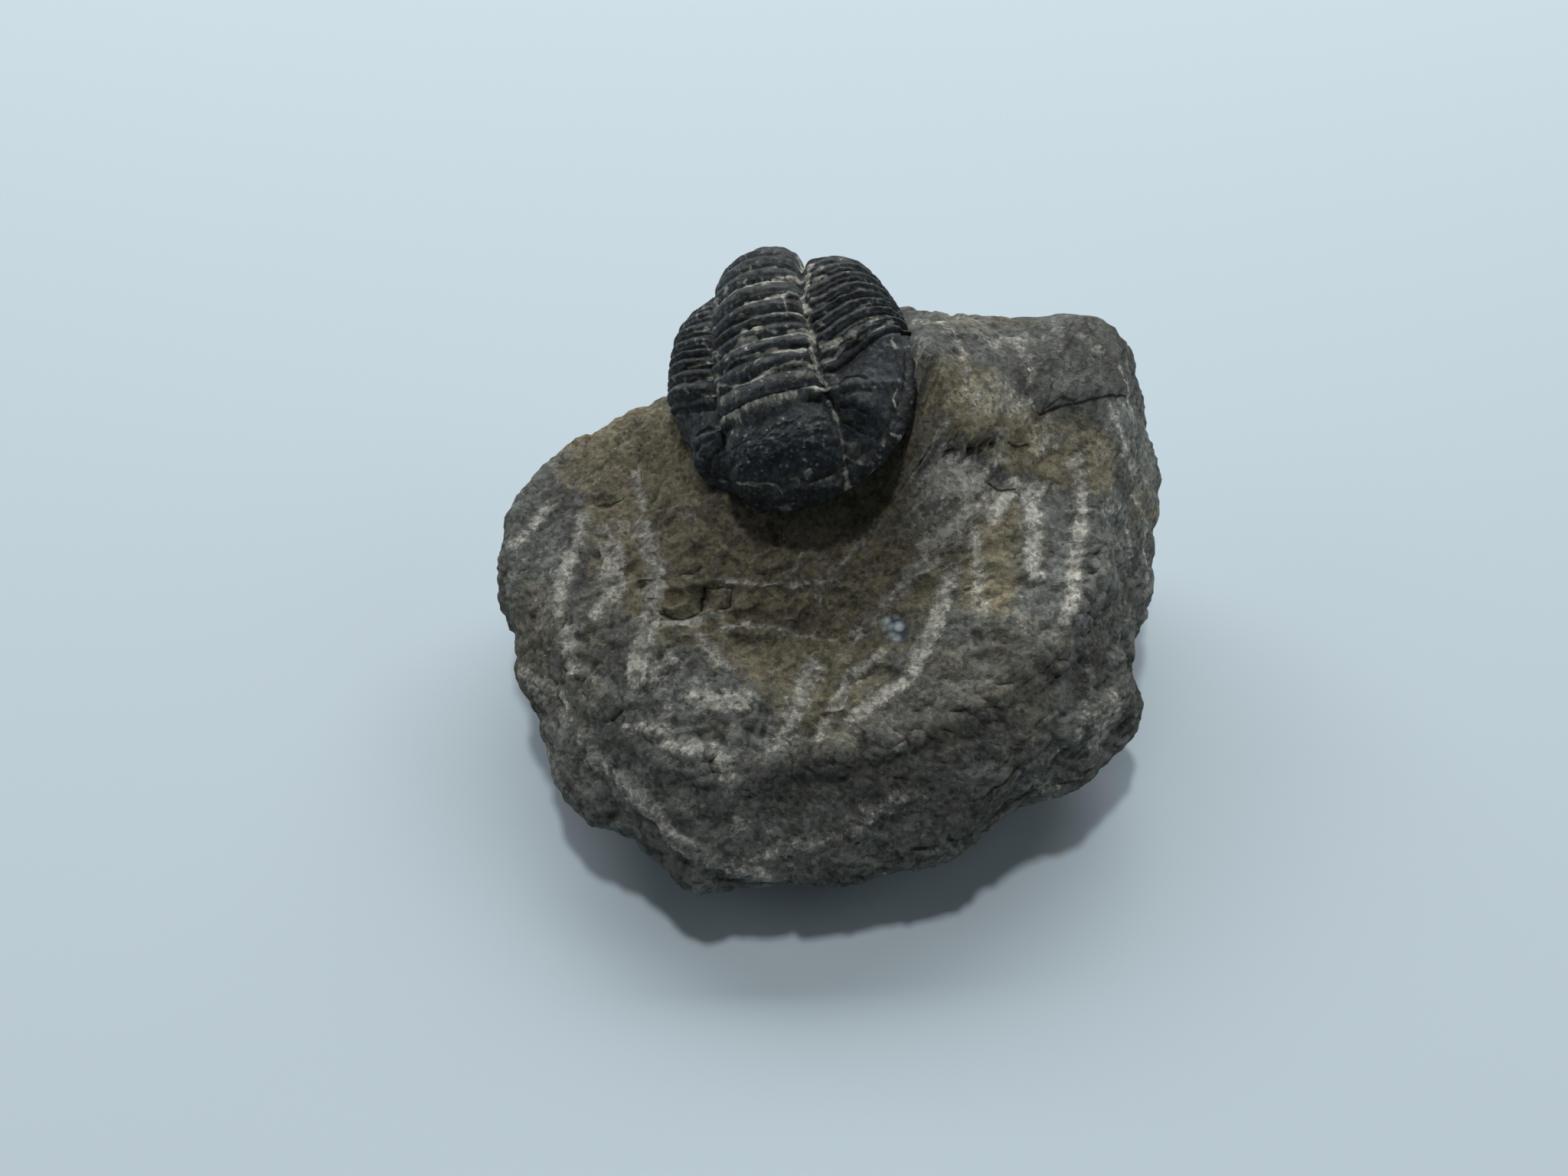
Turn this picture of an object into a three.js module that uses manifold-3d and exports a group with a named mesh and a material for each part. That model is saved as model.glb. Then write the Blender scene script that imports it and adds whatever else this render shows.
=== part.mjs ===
// A small rolled-up proetid trilobite on the loose piece of limestone that it was freed from.
// Millimetres, +Z up. The origin is in the plane that the stone rests on, under the middle of
// the whole piece. +X is to the right of someone who looks the trilobite in the face, and its
// head faces -Y.
import * as THREE from "three";
import { ImprovedNoise } from "three/addons/math/ImprovedNoise.js";
import { ParametricGeometry } from "three/addons/geometries/ParametricGeometry.js";
import { mergeVertices } from "three/addons/utils/BufferGeometryUtils.js";
import Module from "manifold-3d";

// Driving dimensions of the trilobite. Lengths along the back follow its curve.
const headLength = 10.9;
const headHalfWidth = 8.7;
const segmentCount = 10;
const segmentLength = 1.2;
const tailLength = 6.6;
const tailRings = 7;
const axisHalfWidth = 3.45;
const axisHeight = 1.4;
const glabella = { middle: 5.3, halfLength: 3.3, halfWidth: 5.0, height: 2.0 };
const occipitalFurrow = 8.4;
const eye = { along: 6.8, around: 6.0, length: 1.5, width: 1.15, height: 1.35 };
const headFullness = 0.95;
const thoraxFullness = 0.62;
const headSkew = 0.18;
const borderWidth = 1.1;
const frontBorderExtra = 0.9;

// How the trilobite lies: its snout, and its turn to the side, nod and lean in degrees.
const snout = new THREE.Vector3(-1.3, 4.2, 15.5);
const yaw = 1.5;
const pitch = 0;
const roll = 27;

// Driving dimensions of the stone.
const stoneCentre = new THREE.Vector3(0, 0.5, 7.5);
const footShare = 0.48;
const footBelow = 1.2;
const edgeSoftness = 0.8;
const gap = 0.3;

// The widest line round the stone: azimuth in degrees, radius and height.
const stoneRim = [
  [-170, 21.5, 8.2],
  [-154, 21.2, 7.4],
  [-140, 21.3, 6.4],
  [-131, 19.9, 6],
  [-116, 19.9, 5.5],
  [-108, 18.7, 5.5],
  [-89, 17.8, 5.5],
  [-69, 17.5, 5.5],
  [-43, 18.3, 6.4],
  [-30, 20.8, 6.4],
  [-14, 23.1, 7.4],
  [-6, 21.9, 8.3],
  [7, 23.8, 9.5],
  [17, 26.8, 11],
  [31, 28.2, 13.5],
  [40, 28.5, 15],
  [50, 25.5, 15.5],
  [72, 22.8, 15],
  [90, 22.3, 14],
  [108, 21.0, 13],
  [124, 20.0, 12],
  [138, 22.4, 12],
  [149, 24.3, 11.5],
  [160, 24.3, 10.5],
  [174, 23.3, 9.5],
];

// Planes of the top: a point on each, the azimuth that it falls towards and its slope in degrees.
const topFaces = {
  main: { at: [0, -2, 13.0], towards: -105, slope: 9 },
  front: { at: [-1, -8.2, 12.0], towards: -92, slope: 33 },
  left: { at: [-14, 2, 12.4], towards: 176, slope: 14 },
  frontLeft: { at: [-11.5, -8, 10.6], towards: -138, slope: 34 },
  right: { at: [18.8, 2, 13.4], towards: -14, slope: 58 },
  frontRight: { at: [13, -8.5, 11.2], towards: -42, slope: 42 },
};

// Swells and hollows of the top: middle, height, and half-widths along X and Y.
const topForms = {
  backHump: { at: [17, 14.5], height: 3.4, size: [7, 6] },
  flankToFossil: { at: [8.6, 11.5], height: 4.4, size: [4.2, 7] },
  seatUnderFossil: { at: [-2, 14], height: 4.5, size: [6, 6] },
  brownHollow: { at: [-2.5, -2], height: -1.7, size: [8, 4.5] },
};

const DEG = Math.PI / 180;
const wasm = await Module();
wasm.setup();
const noise = new ImprovedNoise();

// A smooth curve through hand-chosen values: table rows are [position, value, value, ...].
function along(table, position) {
  let i = 0;
  while (i < table.length - 2 && position > table[i + 1][0]) i++;
  const before = table[Math.max(i - 1, 0)];
  const a = table[i];
  const b = table[i + 1];
  const after = table[Math.min(i + 2, table.length - 1)];
  const span = b[0] - a[0];
  const u = THREE.MathUtils.clamp((position - a[0]) / span, 0, 1);
  return a.slice(1).map((_, column) => {
    const k = column + 1;
    const slopeA = ((b[k] - before[k]) / (b[0] - before[0])) * span;
    const slopeB = ((after[k] - a[k]) / (after[0] - a[0])) * span;
    const rise = b[k] - a[k];
    return (
      a[k] + u * (slopeA + u * (3 * rise - 2 * slopeA - slopeB + u * (slopeA + slopeB - 2 * rise)))
    );
  });
}

const bell = (x) => Math.exp(-x * x);

// The trilobite's lengthwise plan: where head, thorax and tail end along the back.
const thoraxEnd = headLength + segmentCount * segmentLength;
const bodyLength = thoraxEnd + tailLength;

// The way the back faces along its length: 0 is forwards, 90 up, 180 backwards.
const backFacing = [
  [0, -5],
  [2.3, 10],
  [3.6, 30],
  [5.1, 47],
  [7.1, 62],
  [8.8, 66],
  [headLength, 70],
  [14.4, 82],
  [18.2, 95],
  [20.6, 115],
  [22.4, 142],
  [24.6, 168],
  [27.1, 192],
  [bodyLength, 205],
];

// Points of the back's midline in the trilobite's own plane of symmetry, [back, up] from the snout.
const midlineStep = 0.05;
const midline = [[0, 0]];
for (let s = 0; s < bodyLength; s += midlineStep) {
  const facing = along(backFacing, s + midlineStep / 2)[0] * DEG;
  const [back, up] = midline.at(-1);
  midline.push([back + midlineStep * Math.sin(facing), up + midlineStep * Math.cos(facing)]);
}

function backPoint(s) {
  const [back, up] = midline[Math.round(s / midlineStep)];
  const facing = along(backFacing, s)[0] * DEG;
  return { back, up, outBack: -Math.cos(facing), outUp: Math.sin(facing) };
}

// Where the side edge lies behind the head: place along the back, then half width, back and up.
const cheekCorner = { back: 9.7, up: 1.2 };
const tailTip = backPoint(bodyLength);
const sideEdge = [
  [headLength, headHalfWidth, cheekCorner.back, cheekCorner.up],
  [14.4, 8.5, 11.0, 1.0],
  [18.2, 7.9, 12.4, 0.2],
  [thoraxEnd, 6.6, 13.3, -1.6],
  [bodyLength - 2.2, 4.0, 0.5 * (13.6 + tailTip.back), 0.5 * (tailTip.up - 2.4)],
  [bodyLength, 0, tailTip.back, tailTip.up],
];

function edgePoint(s) {
  if (s > headLength) return along(sideEdge, s);
  const turn = (s / headLength) * 90 * DEG;
  const rise = 1 - Math.cos(turn);
  return [headHalfWidth * Math.sin(turn), cheekCorner.back * rise, cheekCorner.up * rise];
}

// The head is pressed out of true: its right front margin stands out further than its left.
function skewAt(s, q) {
  if (s > headLength) return 1;
  return 1 + headSkew * q * Math.sin(Math.PI * Math.sqrt(s / headLength));
}

// Points of both side edges, to measure how far in from them a place of the back is.
const edgeStep = 0.25;
const edgeLine = [];
for (let s = 0; s <= bodyLength; s += edgeStep) {
  const [halfWidth, back, up] = edgePoint(s);
  for (const q of [-1, 1]) edgeLine.push(new THREE.Vector3(q * halfWidth * skewAt(s, q), back, up));
}

function fromSideEdge(point) {
  return Math.sqrt(Math.min(...edgeLine.map((corner) => corner.distanceToSquared(point))));
}

// Half width of the raised axis at a place along the back.
function axisWidthAt(s) {
  return along(
    [
      [0, axisHalfWidth],
      [headLength, 1.1 * axisHalfWidth],
      [14, axisHalfWidth],
      [thoraxEnd, 0.85 * axisHalfWidth],
      [bodyLength, 0.35 * axisHalfWidth],
    ],
    s,
  )[0];
}

// The smooth lift of the raised middle: glabella on the head, axis behind it.
function lift(s, x) {
  const lengthShare = Math.abs((s - glabella.middle) / glabella.halfLength) ** 2.4;
  const widthShare = Math.abs(x / glabella.halfWidth) ** 2.4;
  const dome = glabella.height * Math.max(0, 1 - lengthShare - widthShare) ** 0.75;
  const lobe = axisHeight * Math.max(0, 1 - (x / axisWidthAt(s)) ** 2) ** 0.7;
  const fadeIn = THREE.MathUtils.smoothstep(s, occipitalFurrow - 0.3, occipitalFurrow + 0.5);
  const fadeOut = 1 - THREE.MathUtils.smoothstep(s, bodyLength - 2.5, bodyLength - 0.8);
  return Math.max(dome, lobe * fadeIn * fadeOut);
}

// Furrows, rings, ribs, eyes and borders, outwards from the smooth form.
function relief(s, x, around, fromEdge) {
  const side = Math.abs(x);
  const axisEdge = axisWidthAt(s);
  const frontness = Math.max(0, 1 - s / 4);
  const rim = borderWidth + frontBorderExtra * frontness;
  let height = 0;
  if (s < headLength) {
    const cheek = THREE.MathUtils.smoothstep(side, 0.6 * axisEdge, axisEdge);
    height += 0.3 * bell((fromEdge - 0.5 * rim) / (0.5 * rim));
    height -= 0.35 * bell((fromEdge - 1.3 * rim) / 0.5);
    height += eye.height * bell((s - eye.along) / eye.length) * bell((around - eye.around) / eye.width);
    height -= 0.45 * bell((s - occipitalFurrow) / 0.36) * (1 - 0.5 * cheek);
    height -= 0.3 * bell((side - glabella.halfWidth - 0.1) / 0.45) * bell((s - glabella.middle) / 3.6);
  } else {
    height -= 0.3 * bell((side - axisEdge) / 0.45);
    height += 0.75 * bell((side - 0.5 * (axisEdge + headHalfWidth)) / 1.6);
  }
  const inTail = s > thoraxEnd;
  const ringLength = inTail ? tailLength / tailRings : segmentLength;
  const start = inTail ? thoraxEnd : headLength;
  if (s >= headLength - 0.3) {
    const phase = (s - start) / ringLength;
    const fromFurrow = Math.abs(phase - Math.round(phase)) * ringLength;
    const depth = inTail ? 0.25 * Math.max(0, 1 - (s - thoraxEnd) / 5) : 0.45;
    height -= depth * bell(fromFurrow / 0.24);
  }
  return height * Math.min(1, fromEdge / 0.5);
}

// A point of the back: s runs along it, q from -1 at one side edge to 1 at the other.
function formPoint(s, q) {
  const middle = backPoint(s);
  const [halfWidth, edgeBack, edgeUp] = edgePoint(s);
  const low = lift(s, 0);
  const crownBack = middle.back - middle.outBack * low;
  const crownUp = middle.up - middle.outUp * low;
  const bend = q * 90 * DEG;
  const x = halfWidth * Math.sin(bend) * skewAt(s, q);
  const fullness = THREE.MathUtils.lerp(
    headFullness,
    thoraxFullness,
    THREE.MathUtils.smoothstep(s, occipitalFurrow, headLength + 1),
  );
  const drop = 1 - Math.abs(Math.cos(bend)) ** fullness;
  const back = crownBack + (edgeBack - crownBack) * drop;
  const up = crownUp + (edgeUp - crownUp) * drop;
  const depth = Math.hypot(edgeBack - crownBack, edgeUp - crownUp);
  const around = Math.abs(q) * (Math.PI / 2) * Math.sqrt((halfWidth ** 2 + depth ** 2) / 2);
  return { point: new THREE.Vector3(x, back, up), around, rise: lift(s, x) };
}

// The surface point, with its rise laid off square to the smooth form.
function surfacePoint(s, q) {
  const step = 0.04;
  const here = formPoint(s, q);
  const acrossA = formPoint(s, Math.max(q - step, -1)).point;
  const acrossB = formPoint(s, Math.min(q + step, 1)).point;
  const alongA = formPoint(Math.max(s - 0.25, 0), q).point;
  const alongB = formPoint(Math.min(s + 0.25, bodyLength), q).point;
  const normal = acrossB.sub(acrossA).cross(alongB.sub(alongA));
  const onRim = Math.abs(q) > 0.999 || s === 0 || s >= bodyLength;
  if (onRim || normal.length() < 1e-9) return here.point;
  const rise = here.rise + relief(s, here.point.x, here.around, fromSideEdge(here.point));
  return here.point.addScaledVector(normal.normalize(), rise);
}

// Stations along the back: even ones on head and tail, and four to a segment between them, at
// its furrow, the rise of its ring, the ring's top and the ring's fall.
function stationList(headSteps, tailSteps) {
  const list = [];
  for (let i = 0; i < headSteps; i++) list.push((headLength * i) / headSteps);
  for (let segment = 0; segment < segmentCount; segment++) {
    const start = headLength + segment * segmentLength;
    for (const share of [0, 0.22, 0.5, 0.78]) list.push(start + share * segmentLength);
  }
  for (let i = 0; i <= tailSteps; i++) list.push(thoraxEnd + (tailLength * i) / tailSteps);
  return list;
}

// A closed skin: the back from edge to edge, then the flat underside from edge to edge.
function trilobiteSkin(across, stations) {
  const backShare = (across - 3) / across;
  const skin = new ParametricGeometry(
    (u, v, target) => {
      const s = stations[Math.round(v * (stations.length - 1))];
      if (u <= backShare + 1e-9) {
        target.copy(surfacePoint(s, (2 * u) / backShare - 1));
        return;
      }
      const [halfWidth, back, up] = edgePoint(s);
      const share = (u - backShare) / (1 - backShare);
      const right = halfWidth * skewAt(s, 1);
      const left = -halfWidth * skewAt(s, -1);
      target.set(THREE.MathUtils.lerp(right, left, share), back, up);
    },
    across,
    stations.length - 1,
  );
  return cutShort(skin);
}

// Cuts each four-sided patch of a skin along its shorter diagonal, so that ridges stay clean.
function cutShort(geometry) {
  const corner = (i) => new THREE.Vector3().fromBufferAttribute(geometry.attributes.position, i);
  const index = [];
  for (let i = 0; i < geometry.index.count; i += 6) {
    const [a, b, d, , c] = [0, 1, 2, 3, 4].map((k) => geometry.index.getX(i + k));
    const acrossAC = corner(a).distanceTo(corner(c)) < corner(b).distanceTo(corner(d));
    index.push(...(acrossAC ? [a, b, c, a, c, d] : [a, b, d, b, c, d]));
  }
  geometry.setIndex(index);
  return geometry;
}

// Merged vertices, without the triangles that shrink to a line at the two tips.
function welded(geometry) {
  geometry.deleteAttribute("normal");
  geometry.deleteAttribute("uv");
  const merged = mergeVertices(geometry, 1e-3);
  const kept = [];
  for (let i = 0; i < merged.index.count; i += 3) {
    const [a, b, c] = [0, 1, 2].map((k) => merged.index.getX(i + k));
    if (a !== b && b !== c && c !== a) kept.push(a, b, c);
  }
  merged.setIndex(kept);
  return merged;
}

function solid(geometry) {
  return new wasm.Manifold(
    new wasm.Mesh({
      numProp: 3,
      vertProperties: geometry.attributes.position.array,
      triVerts: new Uint32Array(geometry.index.array),
    }),
  );
}

function geometryOf(manifold) {
  const mesh = manifold.getMesh();
  const geometry = new THREE.BufferGeometry();
  geometry.setAttribute("position", new THREE.BufferAttribute(mesh.vertProperties, 3));
  geometry.setIndex(new THREE.BufferAttribute(mesh.triVerts, 1));
  geometry.computeVertexNormals();
  return geometry;
}

// Height of the stone's top at a place: softened meeting of its planes, with swells and hollows.
function topHeight(x, y) {
  let sum = 0;
  for (const { at, towards, slope } of Object.values(topFaces)) {
    const fall = Math.tan(slope * DEG);
    const run = (x - at[0]) * Math.cos(towards * DEG) + (y - at[1]) * Math.sin(towards * DEG);
    sum += Math.exp(-(at[2] - run * fall) / edgeSoftness);
  }
  let height = -edgeSoftness * Math.log(sum);
  for (const form of Object.values(topForms)) {
    height += form.height * bell((x - form.at[0]) / form.size[0]) * bell((y - form.at[1]) / form.size[1]);
  }
  return height;
}

// Radius of the stone's wall at an azimuth and height: it draws in below and above its rim.
function wallRadius(azimuth, z) {
  const first = stoneRim[0];
  const last = stoneRim.at(-1);
  const round = [[last[0] - 360, last[1], last[2]], ...stoneRim, [first[0] + 360, first[1], first[2]]];
  const [radius, height] = along(round, azimuth < round[0][0] ? azimuth + 360 : azimuth);
  if (z > height) return radius - 0.42 * (z - height);
  return radius * (1 - (1 - footShare) * (1 - z / height) ** 2.4);
}

// Positive outside the stone and negative inside it.
function outsideStone(p) {
  const azimuth = Math.atan2(p.y, p.x) / DEG;
  const wall = 0.85 * (Math.hypot(p.x, p.y) - wallRadius(azimuth, p.z));
  const top = 0.9 * (p.z - topHeight(p.x, p.y));
  const under = -(p.z + footBelow);
  const soft = 0.7;
  return soft * Math.log(Math.exp(wall / soft) + Math.exp(top / soft) + Math.exp(under / soft));
}

// Lumps and flaked hollows a few millimetres wide.
function roughness(p) {
  const broad = noise.noise(p.x / 5.5 + 7.3, p.y / 5.5 + 2.1, p.z / 5.5);
  const fine = noise.noise(p.x / 2.3, p.y / 2.3 + 4.7, p.z / 2.3 + 1.9);
  return 0.75 * broad + 0.3 * fine;
}

function stoneSkin() {
  const geometry = new THREE.IcosahedronGeometry(1, 13);
  const position = geometry.attributes.position;
  const direction = new THREE.Vector3();
  const p = new THREE.Vector3();
  for (let i = 0; i < position.count; i++) {
    direction.fromBufferAttribute(position, i).normalize();
    let near = 0;
    let far = 45;
    while (far - near > 0.002) {
      const middle = (near + far) / 2;
      p.copy(stoneCentre).addScaledVector(direction, middle);
      if (outsideStone(p) > 0) far = middle;
      else near = middle;
    }
    p.addScaledVector(direction, roughness(p));
    position.setXYZ(i, p.x, p.y, p.z);
  }
  return geometry;
}

// The trilobite, turned the way it lies on the stone.
const seat = new THREE.Group();
seat.position.copy(snout);
seat.rotation.set(pitch * DEG, -roll * DEG, yaw * DEG, "ZXY");
const trilobite = new THREE.Mesh(
  welded(trilobiteSkin(36, stationList(18, 10))),
  new THREE.MeshStandardMaterial({ color: 0x2a3133, roughness: 0.5, metalness: 0 }),
);
trilobite.name = "trilobite";
seat.add(trilobite);
seat.updateMatrixWorld(true);

// The stone, with a flat spot under it and a pocket round the trilobite's underside.
const bodyMiddle = new THREE.Vector3(0, 9, 3);
const bodyReach = new THREE.Vector3(8.7, 10.4, 6);
const clearance = gap + 0.7;
const grown = bodyReach.clone().addScalar(clearance).divide(bodyReach);
const pocketStations = stationList(8, 6).filter((_, i) => i < 8 || i % 2 === 0);
const pocketForm = welded(trilobiteSkin(19, pocketStations))
  .translate(-bodyMiddle.x, -bodyMiddle.y, -bodyMiddle.z)
  .scale(grown.x, grown.y, grown.z)
  .translate(bodyMiddle.x, bodyMiddle.y, bodyMiddle.z);
const tailHollow = welded(new THREE.SphereGeometry(1, 12, 8))
  .scale(8.4, 4.8, 4.2)
  .translate(0, 13.8, -0.4);
const pocket = [pocketForm, tailHollow]
  .map((form) => solid(form.applyMatrix4(trilobite.matrixWorld)))
  .reduce((whole, form) => whole.add(form));
const below = solid(welded(new THREE.BoxGeometry(80, 80, 20).translate(0, 0, -10)));
const stone = solid(welded(stoneSkin())).subtract(below).subtract(pocket);
const matrix = new THREE.Mesh(
  geometryOf(stone),
  new THREE.MeshStandardMaterial({ color: 0x5b5750, roughness: 0.92, metalness: 0 }),
);
matrix.name = "matrix";

// The whole piece, moved so that the origin is under its middle.
const fossil = new THREE.Group();
fossil.add(matrix, seat);
const middle = new THREE.Box3().setFromObject(fossil, true).getCenter(new THREE.Vector3());
fossil.position.set(-middle.x, -middle.y, 0);
export default fossil;
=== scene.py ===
"""A small rolled-up trilobite fossil on its loose piece of limestone, on a pale table."""

import math
import bpy
import numpy as np
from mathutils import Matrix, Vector


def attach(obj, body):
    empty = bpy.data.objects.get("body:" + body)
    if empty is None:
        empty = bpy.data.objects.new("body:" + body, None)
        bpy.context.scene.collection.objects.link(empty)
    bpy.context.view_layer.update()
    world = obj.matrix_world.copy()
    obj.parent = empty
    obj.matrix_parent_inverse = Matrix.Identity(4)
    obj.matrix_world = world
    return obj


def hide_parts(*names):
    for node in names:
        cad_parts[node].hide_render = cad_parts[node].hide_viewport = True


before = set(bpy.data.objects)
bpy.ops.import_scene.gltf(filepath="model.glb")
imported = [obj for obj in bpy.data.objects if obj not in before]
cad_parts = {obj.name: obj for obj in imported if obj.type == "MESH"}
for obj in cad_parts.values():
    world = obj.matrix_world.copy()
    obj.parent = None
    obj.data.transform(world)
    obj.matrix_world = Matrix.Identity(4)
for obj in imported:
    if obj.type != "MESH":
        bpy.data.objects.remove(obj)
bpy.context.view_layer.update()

bl_info = {
    "name": "Trilobite on matrix",
    "version": (1, 0, 0),
    "blender": (4, 5, 0),
    "location": "View3D > Sidebar > Fossil",
    "description": "Builds a small rolled-up trilobite fossil on its rough piece of limestone",
    "category": "Object",
}

MM = 0.001

# Where the trilobite's own frame lies: its snout, then its turn and its lean in degrees.
SNOUT = np.array([-1.904, 1.724, 15.5])
YAW, ROLL = 1.5, 27.0

# The trilobite's plan, in millimetres. Lengths along the back follow its curve.
HEAD_LENGTH = 10.9
HEAD_HALF_WIDTH = 8.7
SEGMENTS = 10
SEGMENT_LENGTH = 1.2
TAIL_LENGTH = 6.6
TAIL_RINGS = 7
AXIS_HALF_WIDTH = 3.45
AXIS_HEIGHT = 1.4
OCCIPITAL = 8.4
HEAD_FULLNESS = 0.95
THORAX_FULLNESS = 0.62
HEAD_SKEW = 0.18
BORDER = 1.1
FRONT_BORDER_EXTRA = 0.9
THORAX_END = HEAD_LENGTH + SEGMENTS * SEGMENT_LENGTH
BODY_LENGTH = THORAX_END + TAIL_LENGTH

# Furrows between the rings of the axis, in millimetres along the back, from the occipital furrow on.
RING_FURROWS = [OCCIPITAL, 10.2, 11.5, 12.6, 13.65, 14.45, 15.7, 17.2, 18.7, 20.2, 21.5, THORAX_END]
TAIL_FURROWS = [THORAX_END + (k + 1) * TAIL_LENGTH / TAIL_RINGS for k in range(TAIL_RINGS)]

# The furrow down each side of the glabella: along the back, then out from the middle.
GLABELLA_SIDE = [(0, 1.4), (1.7, 2.6), (2.4, 3.25), (3.7, 3.6), (5, 3.85), (7, 3.85), (OCCIPITAL, 3.9)]

# The glabella as a dome and as far as it is granular: its middle along and across the back, half
# length, half width and squareness.
GLABELLA_DOME = (5.5, -0.1, 3.3, 4.2, 2.3)
GLABELLA_GRAIN = (5.35, -0.1, 3.05, 4.0, 2.6)
GLABELLA_RISE = 2.0

# Slanting furrows of the glabella, each along the back and how far out it starts, and other furrows.
SLANTING_FURROWS = [(6.9, 1.9), (5.6, 2.3), (4.3, 2.6)]
FRONT_FURROW = 2.35
CHEEK_FURROW = 9.35
CHEEK_RIM = 9.8

# The eyes: along the back, out from the middle on the right and the left, and the size of their swell.
EYE_ALONG = 7.3
EYE_RIGHT, EYE_LEFT = 5.6, 5.9
EYE_HALF_LENGTH, EYE_HALF_WIDTH, EYE_HEIGHT = 1.25, 1.0, 1.0
LEFT_CREASES_IN = 0.3

# Heights and depths of the shell's relief, in millimetres.
BORDER_RISE, BORDER_FURROW_DEPTH = 0.12, 0.2
CREASE_DEPTH = 0.16
GLABELLA_SIDE_DEPTH, SLANTING_DEPTH, FRONT_DEPTH = 0.34, 0.08, 0.1
CHEEK_RIM_RISE, CHEEK_FURROW_DEPTH = 0.16, 0.26
GRANULE_RISE, GRAIN_RISE = 0.22, 0.05
RING_RISE, RING_SINK = 0.46, 0.3
AXIAL_FURROW_DEPTH = 0.2
SIDE_SWELL = 0.7

# The share of its relief that rock left on the shell hides.
ROCK_SMOOTHING = 0.55

# The way the back faces along its length: 0 is forwards, 90 up, 180 backwards.
BACK_FACING = [
    (0, -5),
    (2.3, 10),
    (3.6, 30),
    (5.1, 47),
    (7.1, 62),
    (8.8, 66),
    (HEAD_LENGTH, 70),
    (14.4, 82),
    (18.2, 95),
    (20.6, 115),
    (22.4, 142),
    (24.6, 168),
    (27.1, 192),
    (BODY_LENGTH, 205),
]

# The stone is formed about its own origin and then shifted. Below its widest line it is drawn in to a
# foot, which goes on below the table and is cut flat there.
STONE_SHIFT = np.array([-0.604, -2.476, 0.0])
STONE_MIDDLE = np.array([0.0, 0.5, 7.5])
STONE_REACH = 45.0
STONE_HALVINGS = 15
PEBBLE = [22, 19, 8.5]
FOOT_SHARE = 0.48
FOOT_CURVE = 2.4
FOOT_BELOW = 1.2
SHOULDER_SLOPE = 0.42

# How far the edges between the top's planes, and those of the sides with the top and the foot, are
# rounded, and what brings the distance from a slanting side or top near to the true one.
EDGE_SOFTNESS = 0.8
RIM_SOFTNESS = 0.7
WALL_SLANT, TOP_SLANT = 0.85, 0.9

# Sizes and heights of the broken surface, in millimetres: lumps, flakes, ledges, joints and crumbs.
LUMP_SIZE, SMALL_LUMP_SIZE, SMALL_LUMP_HEIGHT = 5.5, 2.3, 0.3
FLAKE_SIZE, FLAKE_HEIGHT = 1.7, 0.13
LEDGE_SIZE, LEDGE_HEIGHT, LEDGE_LEVELS = [6.0, 6.0, 3.6], 0.3, 2.2
BLOCKS_PER_MM, JOINT_DEPTH = [0.3, 0.3, 0.4], 0.12
CRUMB_SIZE, CRUMB_HEIGHT = 0.75, 0.1
RIDGE_HEIGHT, SCAR_DEPTH, HOLLOW_DEPTH = 0.3, 0.3, 0.25

# The stone's widest line: azimuth in degrees, radius and height.
STONE_RIM = [
    (-170, 21.5, 8.2),
    (-154, 21.2, 7.4),
    (-140, 21.3, 6.4),
    (-131, 19.9, 6),
    (-116, 19.9, 5.5),
    (-108, 18.7, 5.5),
    (-89, 17.8, 5.5),
    (-69, 17.5, 5.5),
    (-43, 18.3, 6.4),
    (-30, 20.8, 6.4),
    (-14, 23.1, 7.4),
    (-6, 21.9, 8.3),
    (7, 23.8, 9.5),
    (17, 26.8, 11),
    (31, 28.2, 13.5),
    (40, 28.5, 15),
    (50, 25.5, 15.5),
    (72, 22.8, 15),
    (90, 22.3, 14),
    (108, 21.0, 13),
    (124, 20.0, 12),
    (138, 22.4, 12),
    (149, 24.3, 11.5),
    (160, 24.3, 10.5),
    (174, 23.3, 9.5),
]

# Planes of the stone's top: a point on each, the azimuth it falls towards and its slope.
TOP_FACES = [
    ((0, -2, 13.0), -105, 9),
    ((-1, -8.2, 12.0), -92, 33),
    ((-14, 2, 12.4), 176, 14),
    ((-11.5, -8, 10.6), -138, 34),
    ((18.8, 2, 13.4), -14, 58),
    ((13, -8.5, 11.2), -42, 42),
]

# Swells and hollows of the top: middle, height, and half-widths along X and Y.
TOP_FORMS = [
    ((17, 14.5), 3.4, (7, 6)),
    ((8.6, 11.5), 4.4, (4.2, 7)),
    ((-2, 14), 4.5, (6, 6)),
    ((-2.5, -2), -1.7, (8, 4.5)),
    ((6.0, 12), 2.8, (2.0, 6)),
]


def along(table, position):
    """A smooth curve through given values, for an array of positions."""
    rows = np.array(table, float)
    x = np.atleast_1d(np.asarray(position, float))
    i = np.clip(np.searchsorted(rows[:, 0], x, side="left") - 1, 0, len(rows) - 2)
    a, b = rows[i], rows[i + 1]
    before, after = rows[np.maximum(i - 1, 0)], rows[np.minimum(i + 2, len(rows) - 1)]
    span = (b[:, 0] - a[:, 0])[:, None]
    u = np.clip((x[:, None] - a[:, :1]) / span, 0, 1)
    slope_a = (b - before)[:, 1:] / (b - before)[:, :1] * span
    slope_b = (after - a)[:, 1:] / (after - a)[:, :1] * span
    rise = (b - a)[:, 1:]
    bend = slope_a + slope_b - 2 * rise
    return a[:, 1:] + u * (slope_a + u * (3 * rise - 2 * slope_a - slope_b + u * bend))


def bell(x):
    return np.exp(-x * x)


def smoothstep(x, low, high):
    t = np.clip((x - low) / (high - low), 0, 1)
    return t * t * (3 - 2 * t)


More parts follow.
